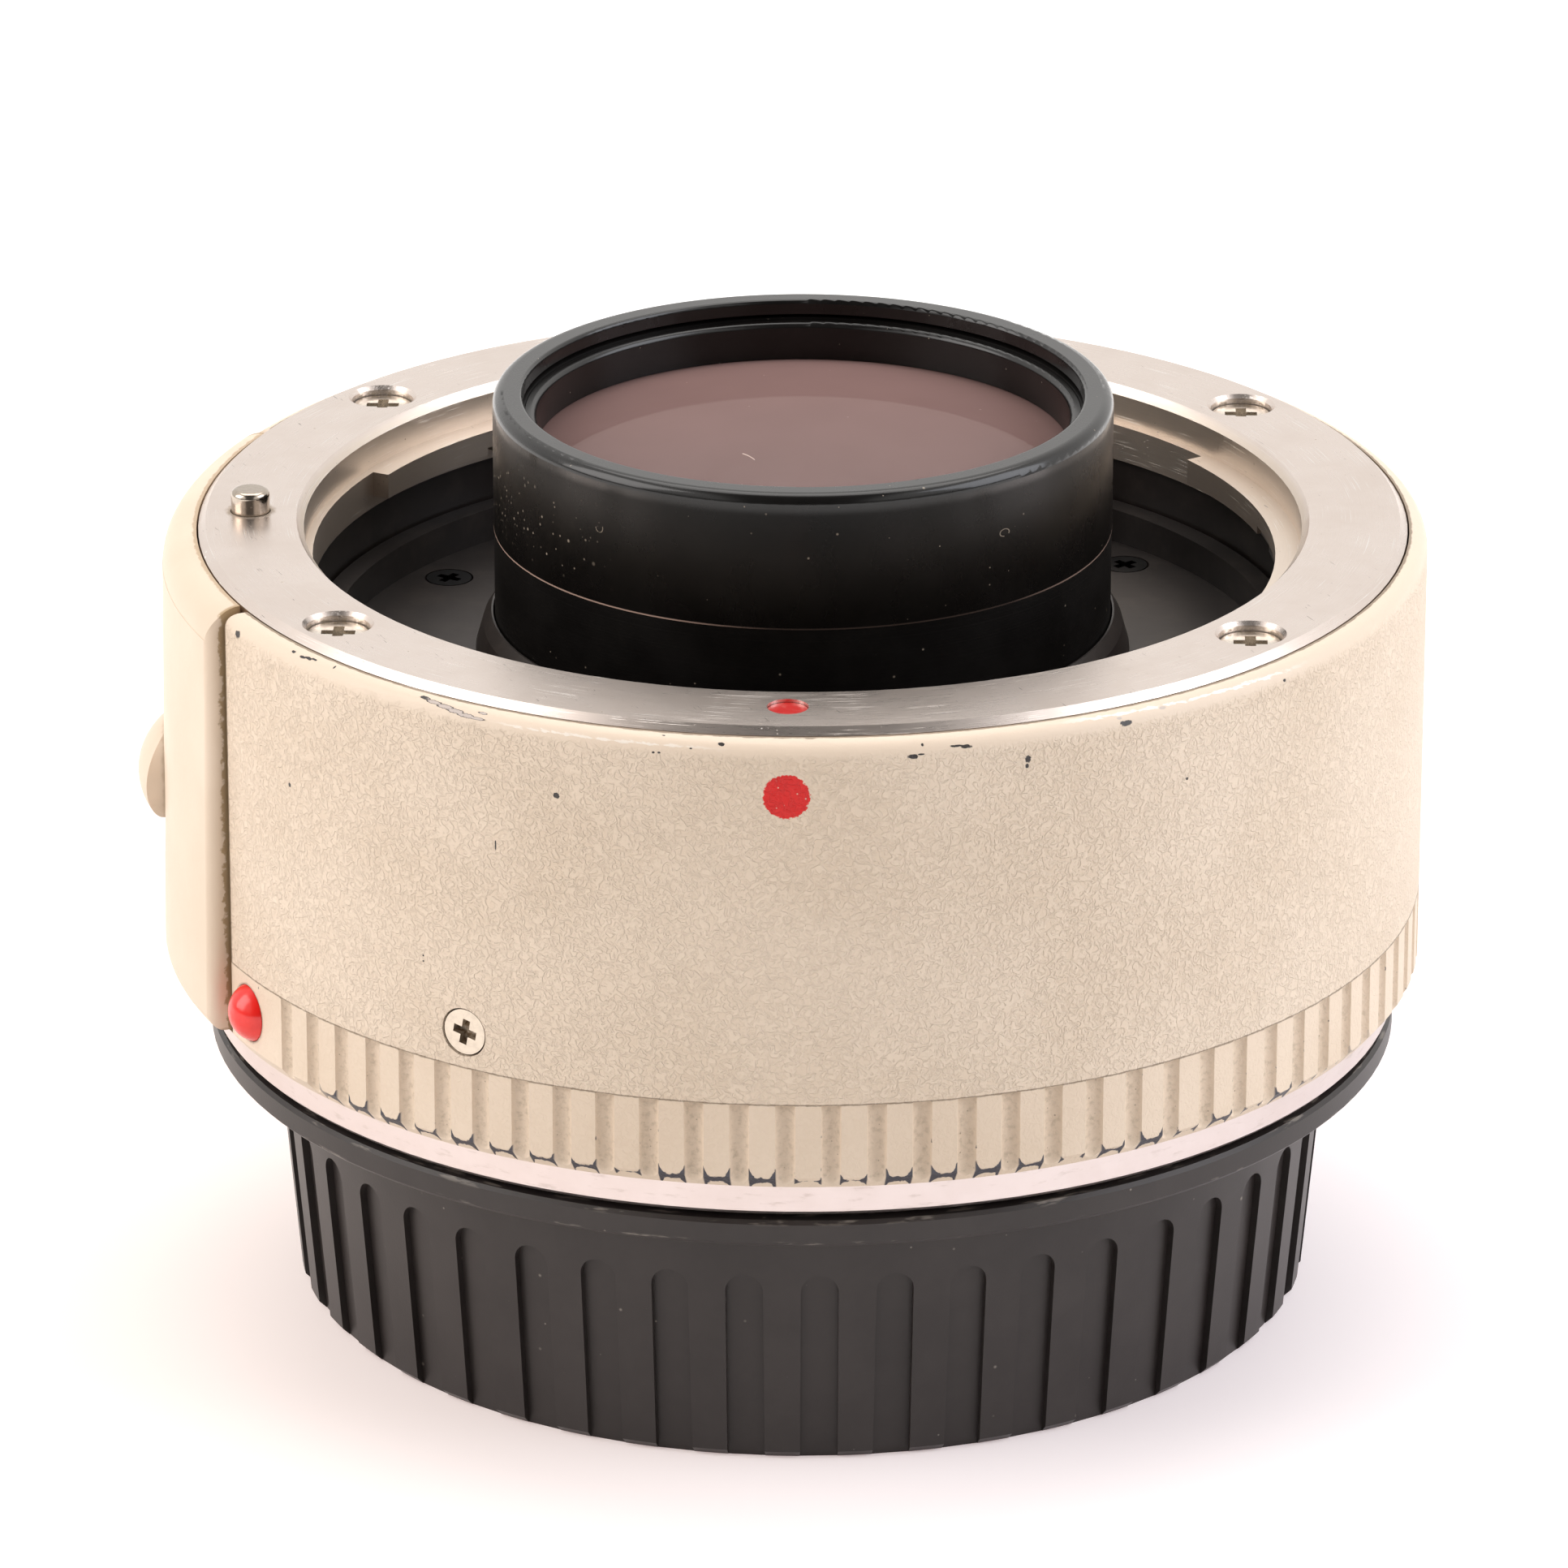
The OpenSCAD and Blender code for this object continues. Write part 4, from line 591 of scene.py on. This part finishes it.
# %% Where the flange is marked
FLANGE_SCREWS = [(30, 53), (30, -53), (30, 127), (30, -127)]
PIN_PLACE, PIN_DIRT = [(29.9, -88.4)], (1.5 * MM, 1.1 * MM)
WELL_EDGE, WELL_DEPTH = (1.95 * MM, 1.75 * MM), (43.3 * MM, 43.1 * MM)
FLANGE_EDGE = (32.2 * MM, 32.4 * MM)

flange = turned_steel("flange_turned_steel", 0.24, 0.07 * MM)
rust = flange.grain(0.3 * MM, 4, 0.65)
screw_well = gap_to(flange, FLANGE_SCREWS).ease(*WELL_EDGE) * flange.z.ease(*WELL_DEPTH)
pin_dirt = (gap_to(flange, PIN_PLACE) + (rust - 0.5) * 0.5 * MM).ease(*PIN_DIRT)
pits = flange.specks(1.3 * MM, 0.12, 0.05).high(flange.specks(0.5 * MM, 0.05, 0.1))
stain = (screw_well * (0.25 + 0.75 * rust.ease(0.42, 0.6))).high(pin_dirt * 0.9).high(pits)
nicks = flange.specks(0.6 * MM, 0.4, 0.14) * flange.out.ease(*FLANGE_EDGE)
round_ways = flange.spread(flange.out, flange.around * (0.3 * MM), flange.z)
scratch = flange.grain(0.05 * MM, 1, where=round_ways).ease(0.62, 0.74)
scratch = scratch * flange.grain(2.6 * MM).ease(0.42, 0.6)
cross_ways = flange.spread(flange.x * 0.9 + flange.y * 0.45,
                           (flange.y * 0.9 - flange.x * 0.45) * 0.06, flange.z)
cut = flange.grain(0.09 * MM, 1, where=cross_ways).ease(0.7, 0.76)
cut = cut * flange.grain(1.4 * MM).ease(0.56, 0.64)
print("flange: dirt round", len(FLANGE_SCREWS), "screws and the pin")

# %% [markdown]
# ## The front flange
# The throat is a little more golden, a painted reflection of the warm inside, and rougher than the
# face, since no lens rubs it. Bright scratches and dark stains are mixed over the steel, and dirt is
# less metallic than the plating.

# %% Finish the front mount
STEEL_PAINTED_REFLECTION, STEEL_BRIGHT = (0.74, 0.645, 0.55, 1), (0.9, 0.86, 0.82, 1)
CUT_DARK, OLD_DIRT = (0.22, 0.19, 0.17, 1), (0.24, 0.17, 0.09, 1)
THROAT_EDGE = (27.4 * MM, 27.1 * MM)

in_throat = flange.out.ease(*THROAT_EDGE)
worn_ring = flange.rings.ease(0.42, 0.66) * flange.grain(5 * MM, 3).ease(0.4, 0.6)
# The throat's golden steel is a painted reflection of the warm inside.
colour = (in_throat * 0.8).blend(flange.dull.blend(STEEL, STEEL_WARM), STEEL_PAINTED_REFLECTION)
colour = (worn_ring * 0.3).blend(colour, STEEL_WARM)
colour = (cut * 0.7).blend(colour, CUT_DARK)
colour = scratch.high(nicks).blend(colour, STEEL_BRIGHT)
colour = (stain * 0.7).blend(colour, OLD_DIRT)
polish = 0.2 + 0.12 * flange.rings + 0.06 * flange.tarnish
flange.feed("Base Color", colour)
flange.feed("Metallic", 1 - stain * 0.5 - nicks * 0.6)
flange.feed("Roughness", polish + in_throat * 0.16 + stain * 0.25 + nicks * 0.3)
flange.relief(flange.rings * 0.7 - scratch * 1.2 - cut * 1.5 - pits, 0.006 * MM, 0.7)
flange.dress("front_mount")

# %% [markdown]
# ## The bright band and the springs
# The rear mount shows as a bright band under the grip ring. It is duller than the flange, nicked
# along its length, with a line of dirt under the ring. The springs and the carriage are plain
# strip and wire, hardly seen until the converter is taken apart.

# %% Finish the rear mount
BAND, BAND_DULL, BAND_DIRT = (0.665, 0.59, 0.57, 1), (0.60, 0.52, 0.49, 1), (0.45, 0.38, 0.34, 1)
BAND_TOP = 18.0 * MM

band = turned_steel("band_brushed_steel", 0.34, 0.06 * MM)
nick = band.grain(0.4 * MM, 3, 0.6, where=band.spread(band.along * 0.25, band.z, 0.0))
nick = nick.ease(0.58, 0.72)
dirt_line = (band.z - BAND_TOP + (nick - 0.5) * 0.2 * MM).ease(-0.1 * MM, 0.15 * MM)
steel = band.dull.blend(BAND, BAND_DULL)
band.feed("Base Color", (nick * 0.35).high(dirt_line * 0.5).blend(steel, BAND_DIRT))
band.feed("Roughness", 0.26 + 0.16 * band.rings + nick * 0.1)
band.relief(band.rings - nick * 0.5, 0.006 * MM, 0.7)
band.dress("rear_mount")

# %% Finish the springs and the carriage
STRIP, STRIP_DULL = (0.6, 0.59, 0.57, 1), (0.5, 0.48, 0.45, 1)

strip = turned_steel("strip_spring_steel", 0.3, 0.05 * MM)
strip.feed("Base Color", (strip.rings * 0.4).blend(STRIP, STRIP_DULL))
strip.feed("Roughness", 0.24 + 0.16 * strip.tarnish)
strip.relief(strip.rings, 0.004 * MM, 0.5)
strip.dress("leaf_springs", "lock_spring", "contact_springs", "lever_carriage")

# %% [markdown]
# ## Screws and the lock pin
# The screws are nickel plated, and the cross in each head holds rusty dirt. A screw's dirt follows
# its depth: low places in a head are dark, the top is bright. The mount screws point up, the rear
# and board screws point down and the shell screws point outwards, so each kind gets its own depth.
# The pin is polished; its steel is painted darker, a painted reflection of the dark room, and it
# only has dirt at its foot.

# %% Nickel with dirt in its low places
NICKEL, OLD_NICKEL, PIN_STEEL_PAINTED_DARK = (0.78, 0.72, 0.64, 1), (0.66, 0.585, 0.49, 1), (0.5, 0.43, 0.36, 1)
RUSTY_DIRT = (0.17, 0.105, 0.05, 1)


def darker(colour, share):
    return tuple(part * share for part in colour[:3]) + (1,)


def nickel(name, depth_of, dirt_share=0.45, bright=NICKEL, polish=0.14):
    """Nickel plate; 'depth_of' gives how far a point lies under the top of its head."""
    plate = Finish(name, {"Metallic": 1.0, "Roughness": 0.2})
    rub = plate.grain(0.3 * MM, 4, 0.6)
    dirt = (depth_of(plate) + (rub - 0.5) * 0.25 * MM).ease(0.08 * MM, 0.34 * MM)
    speck = plate.specks(0.3 * MM, 0.25, 0.2)
    colour = (rub.ease(0.4, 0.7) * 0.4).blend(bright, darker(bright, 0.74))
    soil = (dirt * dirt_share * (0.4 + 0.6 * rub.ease(0.4, 0.6))).high(speck * 0.35)
    plate.feed("Base Color", soil.blend(colour, RUSTY_DIRT))
    plate.feed("Roughness", polish + 0.14 * rub + soil * 0.4)
    plate.feed("Metallic", 1 - soil * 0.7)
    return plate.relief(rub, 0.008 * MM, 0.5)


print("nickel: ready")

# %% Finish the screws and the pin
SHELL_SCREW_TOP_R, PIN_SHOULDER = 33.62 * MM, 43.75 * MM

heads = {name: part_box(name) for name in ("front_mount_screws", "rear_mount_screws", "board_screws")}
mount_top = heads["front_mount_screws"][1].z
rear_low, board_low = heads["rear_mount_screws"][0].z, heads["board_screws"][0].z
nickel("mount_screw_nickel", lambda plate: mount_top - plate.z, 0.22).dress("front_mount_screws")
nickel("rear_screw_nickel", lambda plate: plate.z - rear_low).dress("rear_mount_screws")
nickel("board_screw_nickel", lambda plate: plate.z - board_low).dress("board_screws")
nickel("shell_screw_nickel", lambda plate: SHELL_SCREW_TOP_R - plate.out,
       0.95, OLD_NICKEL, 0.3).dress("shell_screws")
# The pin's darker steel is a painted reflection of the dark room in its polished side.
nickel("pin_polished_steel", lambda plate: PIN_SHOULDER - plate.z,
       0.9, PIN_STEEL_PAINTED_DARK, 0.1).dress("lock_pin")

# %% [markdown]
# ## Red enamel
# The dome that is felt in the dark is moulded in glossy red, and the mounting dot is enamel poured
# into a dimple. Both need a clear highlight, so a coat lies over a deep red, and small nicks keep
# them from looking new.

# %% Finish the red dome
DOME_RED, DOME_RED_LIGHT = (0.84, 0.012, 0.008, 1), (0.93, 0.025, 0.016, 1)
DOME_NICK = (0.8, 0.35, 0.3, 1)

dome = Finish("dome_glossy_red", {"Roughness": 0.22, "Coat Weight": 0.35, "Coat Roughness": 0.06})
cloud = dome.grain(0.9 * MM, 3)
nick = dome.specks(0.7 * MM, 0.12, 0.25)
colour = cloud.ease(0.3, 0.7).blend(DOME_RED, DOME_RED_LIGHT)
dome.feed("Base Color", (nick * 0.6).blend(colour, DOME_NICK))
dome.feed("Roughness", 0.18 + 0.14 * cloud)
dome.relief(cloud - nick * 2.0, 0.01 * MM, 0.5)
dome.dress("index_dome")

# %% Finish the mounting dot
DOT_RED, DOT_WORN = (0.50, 0.006, 0.004, 1), (0.65, 0.16, 0.13, 1)

enamel = Finish("dot_red_enamel", {"Roughness": 0.3, "Coat Weight": 0.3, "Coat Roughness": 0.12})
cloud = enamel.grain(0.5 * MM, 3)
enamel.feed("Base Color", (cloud.ease(0.62, 0.72) * 0.3).blend(DOT_RED, DOT_WORN))
enamel.feed("Roughness", 0.24 + 0.2 * cloud)
enamel.relief(cloud, 0.015 * MM, 0.6)
enamel.dress("mounting_dot")

# %% [markdown]
# ## Blackened metal
# The hood, the barrel and the parts inside the throat are anodised black and matt, so that no
# stray light reaches the picture. A low specular level keeps the black deep. Dust is a second,
# pale and rough colour on top.

# %% The black that the inner pieces share
BLACK, BLACK_SOFT = (0.003, 0.0024, 0.0021, 1), (0.0065, 0.0055, 0.005, 1)
DUST = (0.45, 0.37, 0.29, 1)


def black_metal(name, roughness, shine, dust):
    """Anodised black with fine dust; 'dust' is the share of cells that hold a grain."""
    black = Finish(name, {"Roughness": roughness, "Specular IOR Level": shine})
    tone = black.grain(4 * MM, 4, 0.6)
    tooth = black.grain(0.12 * MM)
    grains = black.specks(0.75 * MM, dust, 0.08).high(black.specks(0.33 * MM, dust * 0.6, 0.12))
    black.colour = (grains * 0.7).blend(tone.ease(0.3, 0.75).blend(BLACK, BLACK_SOFT), DUST)
    black.feed("Base Color", black.colour)
    black.feed("Roughness", roughness - 0.06 + 0.12 * tone + grains * 0.2)
    return black.relief(tooth, 0.006 * MM, 0.4)


print("black metal: ready")

# %% [markdown]
# ## The hood
# The hood stands out of the mount, so it is handled most: its left side has pale spray and smears,
# and two curls of lint stick to it. Where its foot meets the barrel a thin warm line is painted, a
# painted highlight, strongest on the left. Its lip is polished by lens cloths and shines under a coat
# of its own. A curl of lint is the outline of a spot, with noise rubbing out a part of it.

# %% Finish the hood
HOOD_R = 16.75 * MM
HOOD_FOOT, HOOD_LIP = 42.98 * MM, (49.2 * MM, 49.7 * MM)
HOOD_LEFT = [[math.radians(a) for a in ends] for ends in ((-34, -48), (-92, -80))]
SPRAY_LOW, SPRAY_HIGH = (43.6 * MM, 44.4 * MM), (49.0 * MM, 47.0 * MM)
SMEAR_LOW = (43.2 * MM, 45.5 * MM)
FOOT_RUN_LEFT, FOOT_RUN_RIGHT = (-0.05, -0.5), (0.6, 1.1)
LINT = [(-38.5, 47.2, 0.24, 0.26), (41.0, 47.0, 0.32, 0.2)]
FOOT_HIGHLIGHT_PAINTED = (0.48, 0.33, 0.27, 1)

hood = black_metal("hood_black_satin", 0.27, 0.24, 0.05)
hood.shader.inputs["Coat Roughness"].default_value = 0.1
hood.up = hood.z
haze = hood.grain(3 * MM, 4, 0.65, 0.4, hood.spread(hood.x, hood.y, hood.z * 0.6))
left_side = hood.stretch(*HOOD_LEFT)
spray = hood.specks(0.4 * MM, 0.6, 0.2).high(hood.specks(0.8 * MM, 0.5, 0.13))
spray = spray * (left_side * hood.z.ease(*SPRAY_LOW) * hood.z.ease(*SPRAY_HIGH))
smear = haze.ease(0.5, 0.8) * left_side * hood.z.ease(*SMEAR_LOW) * 0.02
curl = abs(spots(hood, LINT, HOOD_R) - 1).ease(0.14, 0.06) * hood.grain(0.5 * MM, 1).ease(0.45, 0.5)
foot_run = 0.1 + 0.9 * hood.around.ease(*FOOT_RUN_LEFT)
foot_run = foot_run.high(hood.around.ease(*FOOT_RUN_RIGHT) * 0.5)
# The thin warm line round the foot is a painted highlight, strongest on the left.
painted_foot_highlight = (hood.z - HOOD_FOOT).ease(0.02 * MM, -0.02 * MM) * foot_run
dusty = (spray * 0.7).high(smear).high(curl * 0.6)
hood.feed("Base Color", dusty.blend(painted_foot_highlight.blend(hood.colour, FOOT_HIGHLIGHT_PAINTED), DUST))
hood.feed("Roughness", 0.26 + 0.03 * haze + dusty * 0.3)
hood.feed("Coat Weight", hood.z.ease(*HOOD_LIP) * 0.55)
hood.dress("front_hood")

# %% [markdown]
# ## The other black pieces
# The barrel is turned with fine grooves that swallow light, so a noise along its height goes into
# its relief. The throat has been scraped a little browner by lenses. The retaining rings and the
# black screws are glossier.

# %% Finish the barrel, the throat, the rings and the black screws
THROAT_BROWN, THROAT_SCRAPED = (0.022, 0.0160, 0.0138, 1), (0.055, 0.042, 0.035, 1)

barrel = black_metal("barrel_black_matt", 0.45, 0.16, 0.05)
lines = barrel.grain(0.16 * MM, 1, where=barrel.spread(0.0, 0.0, barrel.z))
barrel.relief(lines, 0.02 * MM, 0.6)
barrel.dress("lens_barrel", "front_spacer", "rear_spacer")

throat = black_metal("throat_black_satin", 0.42, 0.5, 0.1)
scraped = throat.grain(2.5 * MM, 4, 0.65).ease(0.45, 0.75) * 0.5
throat.feed("Base Color", scraped.blend(THROAT_BROWN, THROAT_SCRAPED))
throat.dress("throat_floor", "main_frame", "rear_mask")

retainer = black_metal("retainer_black_gloss", 0.24, 0.5, 0.08)
retainer.dress("front_retaining_ring", "rear_retaining_ring")

black_screw = black_metal("screw_blackened", 0.3, 0.5, 0.05)
black_screw.dress("floor_screws", "barrel_screws")

# %% [markdown]
# ## Coated glass
# All the coated faces together send back a mauve haze, more of it at a flat angle than from
# straight above, and the outermost face adds a faint clear reflection. The haze is painted: a
# refracting shader is mixed with a soft mauve one, a painted reflection that the lamps light like
# matt paint, by how flat the view is, and a little mirror goes on top. Fine dust and a hair lie on
# the outer face, on the front lens only.

# %% Glass with a coat, and dust if wanted
GLASS_TINT, MIRROR_TINT = (0.93, 0.90, 0.90, 1), (1.0, 0.84, 0.80, 1)
MOTE = (0.72, 0.58, 0.5, 1)
HAIR_X, HAIR_Y = -2.8 * MM, -4.4 * MM


def lens_dust(glass):
    """Motes all over the face, and one short bent hair."""
    grains = glass.specks(1.6 * MM, 0.1, 0.035).high(glass.specks(0.6 * MM, 0.04, 0.07))
    hair_x, hair_y = glass.x - HAIR_X, glass.y - HAIR_Y
    hair = abs(hair_y + hair_x * 1.3 + hair_x * hair_x * 900).ease(0.1 * MM, 0.04 * MM)
    hair = hair * abs(hair_x).ease(0.38 * MM, 0.3 * MM)
    return grains.high(hair) * 0.6


def coated_glass(name, haze, share, dusty):
    """Glass with a painted reflection of its coats in the colour 'haze'; 'share' is how much of it at
    a flat angle.
    """
    glass = Finish(name, {"Transmission Weight": 1.0, "Roughness": 0.0, "IOR": 1.52,
                          "Base Color": GLASS_TINT})

    def layer(colour, metal, rough, shine):
        """A second surface to mix in; its colour is a value or a wire."""
        return glass.at.node("ShaderNodeBsdfPrincipled", {}, {
            "Base Color": colour, "Metallic": metal, "Roughness": rough,
            "Specular IOR Level": shine})

    def mixed(factor, first, second):
        return glass.at.node("ShaderNodeMixShader", {}, {0: factor, 1: first, 2: second})

    film = glass.grain(7 * MM, 3).ease(0.3, 0.7)
    # The soft mauve layer is a painted reflection of the coats, lit by the lamps like matt paint.
    painted_reflection = layer(film.blend(haze, darker(haze, 0.94)), 0.0, 0.6, 0.0)
    mirror = layer(MIRROR_TINT, 1.0, 0.03, 0.5)
    flat = glass.at.node("ShaderNodeLayerWeight", {}, {"Blend": 0.5}, "Facing")
    coated = mixed(flat * share, Wire(glass.shader.outputs[0]), painted_reflection)
    coated = mixed(0.006 + 0.03 * flat, coated, mirror)
    if dusty:
        coated = mixed(lens_dust(glass), coated, layer(MOTE, 0.0, 0.8, 0.0))
    glass.tree.links.new(coated.socket, glass.tree.nodes["Material Output"].inputs["Surface"])
    return glass


print("glass: ready")

# %% Finish the lenses
MAUVE, GREEN, AMBER = (0.205, 0.126, 0.116, 1), (0.12, 0.17, 0.13, 1), (0.17, 0.13, 0.10, 1)

coated_glass("glass_mauve_coat", MAUVE, 1.3, True).dress("front_lens")
coated_glass("glass_green_coat", GREEN, 0.3, False).dress("pair_front_lens", "inner_lens")
coated_glass("glass_amber_coat", AMBER, 0.3, False).dress("pair_rear_lens", "rear_lens")

# %% [markdown]
# ## Moulded plastic
# The rear cap is black plastic with a faint grain from its mould. It rubs against bags and tables,
# so its rim has pale scratches and there are small pale specks on its wall. The contact blocks are
# the same plastic, but clean.

# %% Finish the cap and the contact blocks
PLASTIC, PLASTIC_PALE = (0.024, 0.0188, 0.0172, 1), (0.035, 0.0282, 0.026, 1)
PLASTIC_SCRAPED = (0.40, 0.35, 0.30, 1)
CAP_RIM, CAP_STEP = (15.55 * MM, 15.8 * MM), 14.55 * MM


def moulded_black(name, wear):
    """Moulded black plastic; 'wear' is 1 on a piece that is handled and 0 on a hidden one."""
    plastic = Finish(name, {"Roughness": 0.4, "IOR": 1.5, "Specular IOR Level": 0.42})
    mould = plastic.grain(0.14 * MM)
    cloud = plastic.grain(6 * MM, 4, 0.6)
    fine_fleck = plastic.specks(0.5 * MM, 0.03 * wear, 0.12)
    fleck = plastic.specks(1.1 * MM, 0.10 * wear, 0.09).high(fine_fleck)
    drag_ways = plastic.spread(plastic.along * 0.2, plastic.z, plastic.out)
    drag = plastic.grain(0.5 * MM, 3, 0.6, where=drag_ways)
    edges = plastic.z.ease(*CAP_RIM) + abs(plastic.z - CAP_STEP).ease(0.2 * MM, 0.05 * MM)
    scrape = drag.ease(0.57, 0.68) * edges * wear
    colour = cloud.ease(0.3, 0.7).blend(PLASTIC, PLASTIC_PALE)
    colour = (fleck * 0.55).high(scrape * 0.4).blend(colour, PLASTIC_SCRAPED)
    plastic.feed("Base Color", colour)
    plastic.feed("Roughness", 0.36 + 0.1 * cloud + fleck * 0.2)
    return plastic.relief(mould - scrape, 0.008 * MM, 0.5)


moulded_black("cap_black_plastic", 1.0).dress("rear_cap")
moulded_black("block_black_plastic", 0.0).dress("front_contact_block", "rear_contact_block")

# %% [markdown]
# ## Contacts, flexible strip and board
# Gold on brass keeps the contacts from tarnishing; use rubs it a little duller in places. The
# strip is amber film with copper tracks under it, and the board is green lacquer over copper. The
# tracks are stripes: the fraction of a coordinate over their pitch. On the board a coarse noise,
# rounded to steps, shifts them by half a pitch here and there.

# %% Finish the contacts
GOLD, GOLD_RUBBED = (0.86, 0.62, 0.26, 1), (0.66, 0.47, 0.22, 1)

gold = Finish("contact_gold", {"Metallic": 1.0, "Roughness": 0.22})
rub = gold.grain(0.4 * MM, 4, 0.6)
gold.feed("Base Color", rub.ease(0.35, 0.75).blend(GOLD, GOLD_RUBBED))
gold.feed("Roughness", 0.16 + 0.2 * rub)
gold.relief(rub, 0.006 * MM, 0.5)
gold.dress("contact_pins", "rear_contact_pads")

# %% Finish the flexible strip
AMBER_FILM = (0.42, 0.17, 0.03, 1)
COPPER, COPPER_LIGHT = (0.55, 0.27, 0.09, 1), (0.62, 0.32, 0.11, 1)
STRIP_PITCH = 0.9 * MM

film = Finish("flex_amber_film", {"Roughness": 0.3, "IOR": 1.55})
tracks = abs((film.x * (1 / STRIP_PITCH) + KEEP_POSITIVE).fraction() - 0.5).ease(0.3, 0.22)
cloud = film.grain(1.5 * MM, 3)
copper = cloud.ease(0.3, 0.7).blend(COPPER, COPPER_LIGHT)
film.feed("Base Color", tracks.blend(AMBER_FILM, copper))
film.feed("Roughness", 0.24 + 0.12 * cloud)
film.relief(tracks, 0.02 * MM)
film.dress("contact_flex")

# %% Finish the board
LACQUER, LACQUER_ON_COPPER = (0.012, 0.07, 0.032, 1), (0.03, 0.15, 0.065, 1)
BOARD_PITCH = 1.3 * MM

board = Finish("board_green_lacquer", {"Roughness": 0.32, "Coat Weight": 0.3})
steps = (board.grain(2.5 * MM, 0) * 4).rounded() * 0.5
lanes = (board.x * (1 / BOARD_PITCH) + steps + KEEP_POSITIVE).fraction()
tracks = abs(lanes - 0.5).ease(0.14, 0.08)
board.feed("Base Color", tracks.blend(LACQUER, LACQUER_ON_COPPER))
board.feed("Roughness", 0.28 + 0.15 * board.grain(0.8 * MM, 3))
board.relief(tracks, 0.03 * MM)
board.dress("circuit_board")

# %% [markdown]
# ## The springs
# Two joints work against springs inside the part: the lock pin's coil and the sleeves under the
# contact pins. A spring stays with the converter at its lower end and gets shorter at the other.
# Here each spring only gets a mesh of its own; the table lists its joint and the joint's travel.

# %% Give each spring its own mesh
SPRINGS = [  # spring, its joint, the joint's travel
    ("lock_spring", "lever_slide", 1.8 * MM),
    ("contact_springs", "contact_press", 0.7 * MM),
]

for spring, joint, travel in SPRINGS:
    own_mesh(nodes[spring])

# %% [markdown]
# ## Pieces without a finish
# The last cell lists the pieces that have no finish. The dressed model has to stay in
# the box of the solids.

# %% List the pieces without a finish
undressed = [name for name, piece in nodes.items()
             if not piece.data.materials or not piece.data.materials[0].use_nodes]
print("nodes without a finish:", undressed)
